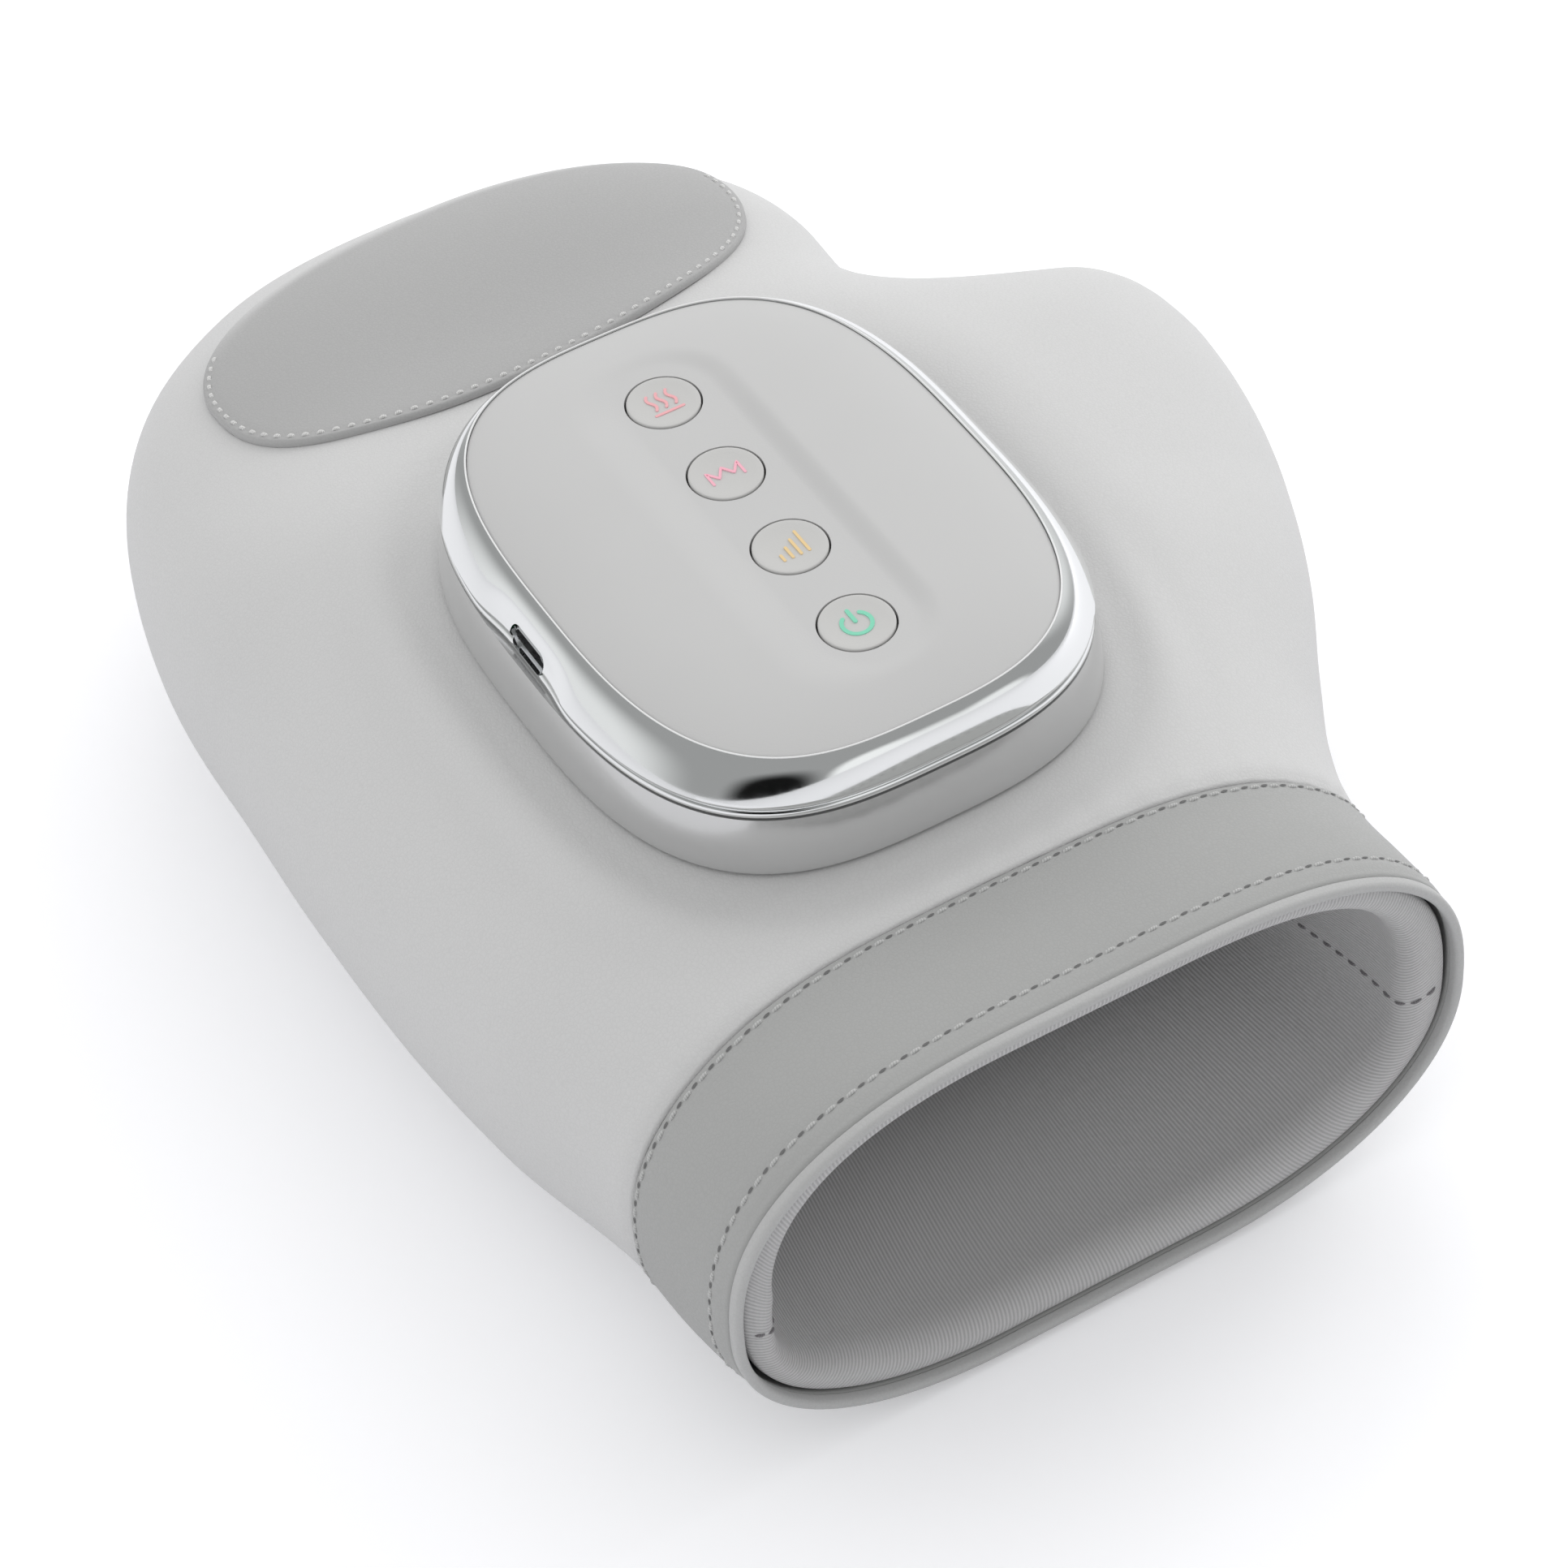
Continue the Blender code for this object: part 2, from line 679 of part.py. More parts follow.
def soft_sheets():
    """The cover in its two leathers, the cuff, the linings and the hand pocket."""
    columns = around
    opening = range(around // 2 + wrap_steps, around - wrap_steps)
    body = skin.copy()
    pull_row(body, 0, 1, seam_gap)
    cells = sheet_faces(len(body), columns, True)
    cover = [face for number, face in enumerate(cells)
             if number // 2 // columns >= sole_last_row or number // 2 % columns not in opening]
    upper_cover = shell("upper_cover", body.reshape(-1, 3), cover, leather, "light_leather")

    sole = skin[:sole_last_row + 1, opening.start:opening.stop + 1].copy()
    pull_row(sole, 0, 1, seam_gap)
    pull_row(sole, -1, -2, seam_gap)
    pull_column(sole, 0, 1, seam_gap)
    pull_column(sole, -1, -2, seam_gap)
    faces = sheet_faces(*sole.shape[:2], False)
    shell("sole_panel", sole.reshape(-1, 3), faces, leather, "light_leather")

    band = sheet_faces(len(cuff_skin), columns, True)
    shell("cuff_band", cuff_skin.reshape(-1, 3), band, leather, "dark_leather")

    rim = moved_out(cuff_skin, -leather / 2)[0]
    rim[:, 1] = cuff_y - edge_gap - binding_radius
    binding = hose("cuff_binding", rim, binding_radius, "dark_leather")
    binding.data.splines[0].use_cyclic_u = True
    binding.data.use_fill_caps = False

    start = moved_out(cuff_skin, -leather - edge_gap - lining)[0]
    start[:, 1] = cuff_y
    end = pocket[0].copy()
    end[:, 1] -= seam_gap
    inward = end - start
    inward[:, 1] = 0
    roll_share = np.minimum(lining_roll / np.linalg.norm(inward, axis=1), roll_limit_share)
    bend = np.linspace(0, math.pi / 2, roll_rows)[:, None]
    steps = np.linspace(0, 1, funnel_rows)[1:, None]
    shares = np.concatenate((roll_share * np.sin(bend),
                             roll_share + (1 - roll_share) * steps * steps * (3 - 2 * steps)))
    roll_end = cuff_y + lining_roll
    funnel = start + inward * shares[:, :, None]
    funnel[:roll_rows, :, 1] = cuff_y + lining_roll * (1 - np.cos(bend))
    funnel[roll_rows:, :, 1] = roll_end + (end[:, 1] - roll_end) * steps
    faces = sheet_faces(len(funnel), columns, True)
    shell("cuff_lining", funnel.reshape(-1, 3), faces, lining, "lining_cloth", 1)

    liner = pocket[::2]
    faces = sheet_faces(len(liner), columns, True)
    shell("hand_pocket", liner.reshape(-1, 3), faces, lining, "lining_cloth", 1)
    return upper_cover


def skin_point(x, y):
    """Points on the back of the mitt and the directions straight out of it there."""
    step = leather
    z = skin_level(x, y, True)
    slope_x = (skin_level(x + step, y, True) - skin_level(x - step, y, True)) / (2 * step)
    slope_y = (skin_level(x, y + step, True) - skin_level(x, y - step, True)) / (2 * step)
    normal = np.stack((-slope_x, -slope_y, np.ones_like(z)), axis=-1)
    return np.stack((x, y, z), axis=-1), normal / np.linalg.norm(normal, axis=-1, keepdims=True)


def fingertip_patch():
    """A lens-shaped patch of darker leather sewn on over the fingertips."""
    ring = oval(patch_half_length, patch_half_width, patch_exponent, wide_sides)
    ring[:, 1] += patch_lean_share * ring[:, 0]
    rows = [patch_middle + ring * share for share in patch_row_shares]
    rows = np.array(rows)
    base, normal = skin_point(rows[..., 0], rows[..., 1])
    outer = base + normal * (patch_gap + patch_leather)
    faces = sheet_faces(len(rows), rows.shape[1], True)
    faces = [face[::-1] for face in faces]
    shell("fingertip_patch", outer.reshape(-1, 3), faces, patch_leather, "dark_leather")


upper_columns = slice(3, 12)
lower_columns = slice(17, 26)
foam_rows = slice(1, 21)
bag_rows = slice(2, 19)
heater_rows = slice(4, 15, 2)
link_row = 8


def padding():
    """Foam under both leathers, an air bag on each side of the hand, and the heating films."""
    made = {}
    for side, columns, foam in (("upper", upper_columns, upper_foam), ("lower", lower_columns, lower_foam)):
        outer = moved_out(skin, -leather - skin_clearance)
        inner = moved_out(skin, -leather - skin_clearance - foam)
        made["foam_" + side] = layer("foam_" + side, outer[foam_rows, columns],
                                     inner[foam_rows, columns], "foam")

        outer = moved_out(skin, -leather - skin_clearance - foam - edge_gap)
        inner = moved_out(pocket, lining + edge_gap + heater_film + skin_clearance)
        made["airbag_" + side] = layer("airbag_" + side, outer[bag_rows, columns],
                                       inner[bag_rows, columns], "bladder")

        outer = moved_out(pocket, lining + edge_gap + heater_film)
        inner = moved_out(pocket, lining + edge_gap)
        layer("heating_film_" + side, outer[heater_rows, columns], inner[heater_rows, columns], "heater")

    air_link_hose(made)
    return made


def air_link_hose(made):
    """The hose round the outer side of the hand, from the side wall of one air bag to the other's."""
    outside = moved_out(skin, -leather - edge_gap)[link_row]
    inside = moved_out(pocket, lining + edge_gap)[link_row]
    middle = (outside + inside) / 2
    route = [middle[column] for column in (1, 0, around - 1)]
    for side, index in (("upper", 0), ("lower", -1)):
        bag = made["airbag_" + side].data
        rows, columns = len(range(around)[bag_rows]), upper_columns.stop - upper_columns.start
        column = 0 if side == "upper" else columns - 1
        place = (link_row - bag_rows.start) * columns + column
        outer, inner = (np.array(bag.vertices[place + k * rows * columns].co) for k in (0, 1))
        wall = (outer - inner) / np.linalg.norm(outer - inner)
        away = np.cross(wall, (0, 1, 0))
        if away @ (route[1] - outer) < 0:
            away = -away
        end = (outer + inner) / 2
        steps = [end + away * (edge_gap * 2), end + away * link_radius * 2]
        route = steps + route if side == "upper" else route + steps[::-1]
    hose("air_link_hose", route, link_radius, "clear_hose", 2)


def screw_places():
    return [(side_x * screw_place_x, side_y * screw_place_y) for side_x in (-1, 1) for side_y in (-1, 1)]


def control_housing():
    """One moulding: a skirt, a flange that sits on the leather, and a tub sunk into the mitt."""
    inner = np.array((moulding, moulding))
    tub = (tub_half_x, tub_half_y)
    rings = [
        (oval(tub[0] - tub_edge, tub[1] - tub_edge, tub_exponent), tub_under),
        (oval(*tub, tub_exponent), tub_under + tub_edge),
        (oval(*tub, tub_exponent), flange_under),
        (oval(module_half_x - skirt_edge, module_half_y - skirt_edge, module_exponent), flange_under),
        (oval(module_half_x, module_half_y, module_exponent), flange_under + skirt_edge),
        (oval(bezel_half_x, bezel_half_y, module_exponent), skirt_top),
        (oval(*((bezel_half_x, bezel_half_y) - inner), module_exponent), skirt_top),
        (oval(*((module_half_x, module_half_y) - inner), module_exponent), flange_under + flange),
        (oval(*(tub - inner), tub_exponent), flange_under + flange),
        (oval(*(tub - inner), tub_exponent), tub_floor),
    ]
    housing = add_object("control_housing", ring_loft("control_housing", rings, False), "grey_plastic")
    smooth_shading(housing)
    for number, (x, y) in enumerate(screw_places()):
        boss = rod(f"boss_{number}", boss_radius, (x, y, flange_under + flange / 2),
                   (x, y, board_height - seat_gap), None, bore_sides, cutters)
        cut(housing, as_cutter(boss), "UNION")
        bore = rod(f"boss_bore_{number}", boss_bore, (x, y, flange_under - overrun),
                   (x, y, board_height + overrun), None, small_sides, cutters)
        cut(housing, as_cutter(bore))
    hole = rod("spout_hole", bag_hose_radius + edge_gap, (pump_place_x, valve_place_y, tub_under - overrun),
               (pump_place_x, valve_place_y, tub_floor + overrun), None, small_sides, cutters)
    cut(housing, as_cutter(hole))


def mitt_cuts(upper_cover, made):
    """The hole that the tub passes through, with the screws round it, in the leather and the padding."""
    outline_tub = oval(tub_half_x + edge_gap, tub_half_y + edge_gap, tub_exponent)
    leather_hole = plate("leather_hole", [outline_tub], tub_under - edge_gap, seat_height + overrun,
                         None, cutters)
    cut(upper_cover, as_cutter(leather_hole))
    cut(made["airbag_upper"], leather_hole)
    for number, (x, y) in enumerate(screw_places()):
        hole = rod(f"screw_hole_{number}", boss_bore, (x, y, seat_height - leather - overrun),
                   (x, y, seat_height + overrun), None, small_sides, cutters)
        cut(upper_cover, as_cutter(hole))
    clamp = oval(clamp_half_x + edge_gap, clamp_half_y + edge_gap, module_exponent)
    foam_hole = plate("foam_hole", [clamp], tub_under, seat_height + overrun, None, cutters)
    cut(made["foam_upper"], as_cutter(foam_hole))
    spout = rod("spout", bag_hose_radius, (pump_place_x, valve_place_y, tub_under - overrun),
                (pump_place_x, valve_place_y, tub_floor), None, small_sides, cutters)
    cut(made["airbag_upper"], as_cutter(spout), "UNION")


def clamp_and_screws():
    top = seat_height - leather - seat_gap
    bottom = top - clamp_thickness
    holes = [circle(x, y, boss_bore, small_sides) for x, y in screw_places()]
    outlines = [oval(clamp_half_x, clamp_half_y, module_exponent),
                oval(tub_half_x + edge_gap, tub_half_y + edge_gap, tub_exponent)]
    plate("clamp_plate", outlines + holes, bottom, top, "black_plastic")
    for number, (x, y) in enumerate(screw_places(), 1):
        turned_screw(f"clamp_screw_{number}", (x, y, bottom - seat_gap), clamp_screw_length, True)
        seat = board_height + board_thickness + seat_gap
        turned_screw(f"board_screw_{number}", (x, y, seat), board_screw_length, False)


def turned(name, profile, place, finish, steps):
    """A profile of (radius, height) pairs, from the top down, turned about the upright axis."""
    mesh = bpy.data.meshes.new(name)
    points = [(radius, 0, height) for radius, height in profile]
    mesh.from_pydata(points, [(i, i + 1) for i in range(len(points) - 1)], [])
    item = add_object(name, mesh, finish)
    item.location = place
    screw = item.modifiers.new("turn", "SCREW")
    screw.steps = steps
    screw.render_steps = steps
    screw.use_merge_vertices = True
    screw.merge_threshold = weld_distance
    screw.use_smooth_shade = True
    return item


def turned_screw(name, place, length, upward):
    """A small screw whose head's underside is at its place. Its shank points up or down."""
    profile = [(0, screw_head_height), (screw_head * screw_top_share, screw_head_height), (screw_head, 0),
               (screw_radius, 0), (screw_radius, -length), (0, -length)]
    if upward:
        profile = [(radius, -height) for radius, height in reversed(profile)]
    turned(name, profile, place, "steel", small_sides)


def chrome_bezel():
    """The rounded ring round the top panel, with a ledge that carries the panel and the port's scallop."""
    foot = skirt_top + seat_gap
    ledge_top = panel_under - seat_gap
    ledge_under = ledge_top - ledge_thickness
    gap_x, gap_y = panel_half_x + edge_gap, panel_half_y + edge_gap
    wide_x, wide_y = bezel_half_x - gap_x, bezel_half_y - gap_y
    round_height = panel_top + bezel_crown - (foot + bezel_height * bezel_wide_share)
    rings = []
    for turn in np.radians(bezel_turns):
        out = bezel_lip_share + (1 - bezel_lip_share) * math.sin(turn)
        drop = 1 - math.cos(turn)
        level = panel_top + bezel_crown - round_height * drop
        rings.append((oval(gap_x + wide_x * out, gap_y + wide_y * out, module_exponent), level))
    inner_x, inner_y = bezel_half_x - bezel_wall, bezel_half_y - bezel_wall
    ledge_x, ledge_y = panel_half_x - ledge_width, panel_half_y - ledge_width
    rings += [
        (oval(bezel_half_x - skirt_edge, bezel_half_y - skirt_edge, module_exponent), foot),
        (oval(inner_x, inner_y, module_exponent), foot),
        (oval(inner_x, inner_y, module_exponent), ledge_under),
        (oval(ledge_x, ledge_y, module_exponent), ledge_under),
        (oval(ledge_x, ledge_y, module_exponent), ledge_top),
        (oval(gap_x, gap_y, module_exponent), ledge_top),
        (oval(gap_x, gap_y, module_exponent), panel_top),
    ]
    bezel = add_object("chrome_bezel", ring_loft("chrome_bezel", rings, True), "chrome")
    smooth_shading(bezel)
    mesh = bpy.data.meshes.new("scallop")
    work = bmesh.new()
    bmesh.ops.create_uvsphere(work, u_segments=20, v_segments=10, radius=1)
    reach = scallop_tall
    bmesh.ops.scale(work, vec=(reach, scallop_length, scallop_tall), verts=work.verts)
    work.to_mesh(mesh)
    work.free()
    scallop = add_cutter("scallop", mesh)
    scallop.location = (-bezel_half_x - reach + scallop_depth, 0, port_height)
    cut(bezel, scallop)
    slot_tall = port_tall + slot_margin * 2
    slot = block("port_slot", ((bezel_wall + overrun) * 2, port_width + slot_margin * 2, slot_tall),
                 (-bezel_half_x, 0, port_height), None, slot_tall * port_round_share, cutters)
    cut(bezel, as_cutter(slot))


def top_panel():
    """The domed panel, dished along its middle and hollowed below, with a hole for each button."""
    rings = [(oval(panel_half_x, panel_half_y, module_exponent), panel_under)]
    for share in panel_ring_shares:
        rise = panel_crown * (1 - share ** panel_crown_exponent)
        rings.append((oval(panel_half_x * share, panel_half_y * share, module_exponent), panel_top + rise))
    panel = add_object("top_panel", ring_loft("top_panel", rings, False), "panel_plastic")
    smooth_shading(panel)
    inner = oval(panel_half_x * panel_recess_share, panel_half_y * panel_recess_share, module_exponent)
    recess_top = dish_floor - panel_thickness
    recess = plate("panel_recess", [inner], panel_under - overrun, recess_top, None, cutters)
    cut(panel, as_cutter(recess))

    half_length = dish_half_width - button_places()[0] + button_shift
    top_x, top_y = dish_half_width + dish_slope / 2, half_length + dish_slope / 2
    floor_x, floor_y = dish_half_width - dish_slope / 2, half_length - dish_slope / 2
    rings = [
        (stadium(floor_x, floor_y), dish_floor),
        (stadium((top_x + floor_x) / 2, (top_y + floor_y) / 2), dish_floor + dish_depth * (1 - dish_step_share)),
        (stadium(top_x, top_y), dish_floor + dish_depth),
        (stadium(top_x, top_y), dish_floor + dish_depth + overrun),
    ]
    dish = add_cutter("dish", ring_loft("dish", rings, False))
    dish.location = (0, button_shift, 0)
    cut(panel, dish)
    for name, y in zip(button_names, button_places()):
        hole = rod("hole_" + name, button_radius + button_gap, (0, y, panel_under), (0, y, dish_floor + overrun),
                   None, wide_sides, cutters)
        cut(panel, as_cutter(hole))


def stadium(half_x, half_y, count=12):
    """Points of a slot with round ends."""
    turn = math.pi * np.arange(count) / (count - 1)
    middle = half_y - half_x
    upper = np.column_stack((half_x * np.cos(turn), middle + half_x * np.sin(turn)))
    return np.concatenate((upper, -upper))


def button_places():
    middle = (len(button_names) - 1) / 2
    return [button_shift + button_pitch * (number - middle) for number in range(len(button_names))]


def buttons_and_switches():
    """Four buttons, each held under the panel by its rim, whose stem stands in its switch."""
    top = dish_floor + button_proud
    rim_top = dish_floor - panel_thickness - seat_gap
    switch_foot = board_height + board_thickness + seat_gap
    switch_top = switch_foot + switch_height
    stem_end = switch_top - switch_well + seat_gap + button_travel
    profile = [(button_radius * out, -button_proud * down) for out, down in button_face_shares]
    profile += [
        (button_radius, rim_top - top),
        (button_radius + button_rim, rim_top - top),
        (button_radius + button_rim, rim_top - top - button_flange),
        (stem_radius, rim_top - top - button_flange), (stem_radius, stem_end - top), (0, stem_end - top),
    ]
    for name, y in zip(button_names, button_places()):
        turned("button_" + name, profile, (0, y, top), "panel_plastic", round_sides)
        switch = block("switch_" + name, (switch_side, switch_side, switch_height),
                       (0, y, switch_foot + switch_height / 2), "black_plastic")
        well = rod("well_" + name, stem_radius + edge_gap, (0, y, switch_top - switch_well),
                   (0, y, switch_top + overrun), None, small_sides, cutters)
        cut(switch, as_cutter(well))


def boards():
    """The main board on the housing's bosses, the frame round the buttons, and the port."""
    holes = [circle(x, y, boss_bore, small_sides) for x, y in screw_places()]
    outline_board = oval(board_half_x, board_half_y, module_exponent)
    plate("main_board", [outline_board] + holes, board_height, board_height + board_thickness, "board")
    foot = board_height + board_thickness + seat_gap
    wells = [circle(0, y, frame_well, bore_sides) for y in button_places()]
    outline_frame = oval(frame_half_x, frame_half_y, tub_exponent, 32)
    plate("button_frame", [outline_frame] + wells, foot, foot + frame_thickness, "panel_plastic")

    port_under = port_height - port_tall / 2
    mouth = -bezel_half_x + scallop_depth + edge_gap
    middle = mouth + port_depth / 2
    port = block("charging_port", (port_depth, port_width, port_tall), (middle, 0, port_height),
                 "steel", port_tall * port_round_share)
    hollow_tall = port_tall - 2 * port_wall
    hollow = block("port_hollow", (port_depth, port_width - 2 * port_wall, hollow_tall),
                   (middle - port_wall, 0, port_height), None, hollow_tall * port_round_share, cutters)
    cut(port, as_cutter(hollow))
    riser = port_under - seat_gap - foot
    back = mouth + port_depth
    front = -board_half_x + scallop_depth
    block("port_board", (back - front, port_width, riser), ((front + back) / 2, 0, foot + riser / 2),
          "board")


def battery_and_pump():
    """What lies in the tub: a battery cell, and a pump of motor, cage, eccentric and head."""
    floor = tub_floor + seat_gap
    level = floor + battery_radius
    half = battery_length / 2
    rod("battery_cell", battery_radius, (battery_place_x, -half, level), (battery_place_x, half, level),
        "battery_wrap", wide_sides)

    x, level = pump_place_x, floor + motor_radius
    motor_end = pump_start_y + motor_length
    rod("pump_motor", motor_radius, (x, pump_start_y, level), (x, motor_end, level), "steel", wide_sides)

    cage_start = motor_end + seat_gap
    cage_end = cage_start + cage_length
    cage = rod("pump_cage", motor_radius, (x, cage_start, level), (x, cage_end, level),
               "black_plastic", wide_sides)
    bore = rod("cage_bore", motor_radius - cage_wall, (x, cage_start - overrun, level),
               (x, cage_end + overrun, level), None, wide_sides, cutters)
    cut(cage, as_cutter(bore))
    window = block("cage_window", (cage_window, cage_length - 2 * cage_wall, motor_radius * 2 + overrun),
                   (x, (cage_start + cage_end) / 2, level), None, None, cutters)
    cut(cage, as_cutter(window))

    shaft_end = cage_end - seat_gap
    eccentric = rod("pump_eccentric", shaft_radius, (x, cage_start, level), (x, shaft_end, level),
                    "brass", small_sides)
    middle = (cage_start + cage_end) / 2
    disc = rod("eccentric_disc", eccentric_radius,
               (x, middle - eccentric_width / 2, level + eccentric_offset),
               (x, middle + eccentric_width / 2, level + eccentric_offset), None, round_sides, cutters)
    cut(eccentric, as_cutter(disc), "UNION")

    head_start = cage_end + seat_gap
    head_end = head_start + head_length
    spout_level = floor + manifold_height / 2
    head = block("pump_head", (head_half_width * 2, head_length, motor_radius * 2),
                 (x, (head_start + head_end) / 2, level), "black_plastic", head_edge)
    nipple = rod("head_nipple", nipple_radius, (x, head_end - overrun, spout_level),
                 (x, head_end + nipple_length, spout_level), None, small_sides, cutters)
    cut(head, as_cutter(nipple), "UNION")
    hose_start = head_end + nipple_length + edge_gap
    hose_end = valve_place_y - manifold_length / 2 - edge_gap
    rod("pump_hose", nipple_radius, (x, hose_start, spout_level), (x, hose_end, spout_level),
        "clear_hose", small_sides)


def valves():
    """Two exhaust valves that stand on the manifold, each with a sprung plunger in its bore."""
    floor = tub_floor + seat_gap
    block("air_manifold", (manifold_half_x * 2, manifold_length, manifold_height),
          (pump_place_x, valve_place_y, floor + manifold_height / 2), "black_plastic")
    foot = floor + manifold_height + seat_gap
    for number, side in ((1, -1), (2, 1)):
        x = pump_place_x + side * valve_spacing / 2
        valve = block(f"valve_body_{number}", (valve_side, valve_side, valve_height),
                      (x, valve_place_y, foot + valve_height / 2), "grey_plastic")
        top = foot + valve_height
        bore = rod(f"valve_bore_{number}", plunger_radius + edge_gap,
                   (x, valve_place_y, top - valve_bore_depth), (x, valve_place_y, top + overrun),
                   None, bore_sides, cutters)
        cut(valve, as_cutter(bore))
        start = top - valve_bore_depth + seat_gap
        rod(f"valve_plunger_{number}", plunger_radius, (x, valve_place_y, start),
            (x, valve_place_y, start + plunger_length), "steel", bore_sides)


upper_cover = soft_sheets()
fingertip_patch()
made = padding()
mitt_cuts(upper_cover, made)
control_housing()
clamp_and_screws()
chrome_bezel()
top_panel()
buttons_and_switches()
boards()
battery_and_pump()
valves()
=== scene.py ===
import math
import bmesh
import bpy
import numpy as np
from mathutils import Matrix, Vector


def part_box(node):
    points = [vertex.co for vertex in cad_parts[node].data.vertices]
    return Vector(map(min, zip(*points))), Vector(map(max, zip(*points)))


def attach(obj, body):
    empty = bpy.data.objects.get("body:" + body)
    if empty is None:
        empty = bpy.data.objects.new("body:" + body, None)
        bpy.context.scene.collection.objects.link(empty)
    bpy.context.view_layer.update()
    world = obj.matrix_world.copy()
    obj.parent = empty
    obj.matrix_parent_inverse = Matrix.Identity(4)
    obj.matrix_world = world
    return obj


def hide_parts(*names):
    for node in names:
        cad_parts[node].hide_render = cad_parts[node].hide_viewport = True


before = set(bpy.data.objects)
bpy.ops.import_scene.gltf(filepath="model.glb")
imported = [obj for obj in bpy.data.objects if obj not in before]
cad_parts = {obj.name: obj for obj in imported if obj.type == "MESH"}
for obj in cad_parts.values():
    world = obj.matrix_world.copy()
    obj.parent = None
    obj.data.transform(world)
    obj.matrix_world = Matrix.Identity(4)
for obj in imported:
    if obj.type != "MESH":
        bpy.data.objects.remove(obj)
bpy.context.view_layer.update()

print("frame loaded")

# ---- shader helpers


def setInputs(tree, node, inputs):
    # links an input where it is given a socket, and sets its value otherwise
    for label, value in inputs.items():
        if isinstance(value, bpy.types.NodeSocket):
            tree.links.new(value, node.inputs[label])
        else:
            node.inputs[label].default_value = value


def addNode(tree, kind, inputs=None, **settings):
    # a shader node with its settings and inputs
    node = tree.nodes.new("ShaderNode" + kind)
    for label, value in settings.items():
        setattr(node, label, value)
    setInputs(tree, node, inputs or {})
    return node


def mathNode(tree, operation, *values):
    # one step of arithmetic on sockets or numbers
    return addNode(tree, "Math", dict(enumerate(values)), operation=operation).outputs[0]


def rangeNode(tree, value, low, high, toLow=0.0, toHigh=1.0, curve="LINEAR"):
    # maps one range of numbers onto another
    inputs = {"Value": value, "From Min": low, "From Max": high, "To Min": toLow, "To Max": toHigh}
    return addNode(tree, "MapRange", inputs, interpolation_type=curve).outputs["Result"]


def bandNode(tree, turn):
    # a smooth wave from 0 to 1, once for each whole turn
    wave = mathNode(tree, "SINE", mathNode(tree, "MULTIPLY", turn, 2 * math.pi))
    return rangeNode(tree, wave, -1.0, 1.0)


def noiseNode(tree, vector, scale, detail=2.0, roughness=0.5):
    # soft noise between 0 and 1
    inputs = {"Vector": vector, "Scale": scale, "Detail": detail, "Roughness": roughness}
    return addNode(tree, "TexNoise", inputs).outputs["Fac"]


def bumpNode(tree, height, distance):
    # tilts the shading by the slope of a height
    return addNode(tree, "Bump", {"Height": height, "Distance": distance}).outputs["Normal"]


def opaque(colour):
    # a colour that covers fully; a socket stays as it is
    return (*colour, 1) if isinstance(colour, tuple) else colour


def mixColour(tree, factor, low, high):
    # the low colour where the factor is 0, and the high one where it is 1
    inputs = {"Factor": factor, "A": opaque(low), "B": opaque(high)}
    return addNode(tree, "Mix", inputs, data_type="RGBA").outputs["Result"]


# ---- camera, light and floor

photoCamera = {
    "place": (-0.2120, -0.4227, 0.52795),
    "aroundDegrees": -26.68,
    "aboveDegrees": 46.60,
    "rollDegrees": -5.09,
    "lens": 104.35,
    "sensor": 36,
    "nearest": 0.01,
}


def addCamera(settings):
    # looks back along the line given by its angles round and above the origin, then rolls
    around, above, roll = (math.radians(settings[k]) for k in ("aroundDegrees", "aboveDegrees", "rollDegrees"))
    back = Vector((math.sin(around) * math.cos(above), -math.cos(around) * math.cos(above), math.sin(above)))
    right = (-back).cross(Vector((0, 0, 1))).normalized()
    up = right.cross(-back)
    rolledRight = right * math.cos(roll) + up * math.sin(roll)
    rolledUp = up * math.cos(roll) - right * math.sin(roll)
    camera = bpy.data.objects.new("photoCamera", bpy.data.cameras.new("photoCamera"))
    camera.data.lens = settings["lens"]
    camera.data.sensor_width = settings["sensor"]
    camera.data.clip_start = settings["nearest"]
    turn = Matrix((rolledRight, rolledUp, back)).transposed()
    camera.matrix_world = Matrix.Translation(settings["place"]) @ turn.to_4x4()
    bpy.context.scene.collection.objects.link(camera)
    bpy.context.scene.camera = camera


studio = {
    "worldLight": 1.15,
    "worldLean": (-0.04, 0.35, -0.10),
    "lamps": (
        # name, place, width, height, power, colour
        ("keyLamp", (0.55, 0.75, 0.95), 0.70, 0.70, 1.7, (1.0, 0.99, 0.98)),
        ("sideLamp", (0.95, 0.15, 0.60), 0.60, 0.60, 3.2, (1.0, 1.0, 1.0)),
        ("leftLamp", (-0.85, -0.35, 0.60), 0.60, 0.50, 0.5, (0.96, 0.98, 1.0)),
    ),
    "seenColour": (1, 1, 1),
    "roomColour": (0.985, 1.0, 1.0),
    "roomShade": 0.36,
    "roomAreas": (
        # direction, where it is full, where it ends, brightness
        ((0.83, 0.33, 0.44), 0.06, 0.71, 0.80),
        ((0.54, 0.84, 0.00), 0.18, 0.83, 0.80),
        ((-0.84, 0.53, -0.12), 0.22, 0.80, 0.85),
        ((0.15, -0.99, -0.08), 0.18, 0.32, 1.00),
        ((0.52, -0.85, -0.10), 0.16, 0.30, 0.95),
        ((-0.58, -0.81, -0.04), 0.27, 0.52, 0.006),
    ),
    "floorColour": (0.90, 0.902, 0.925),
    "floorLift": 0.21,
    "floorHalf": 3.0,
    "floorZ": -0.0004,
}


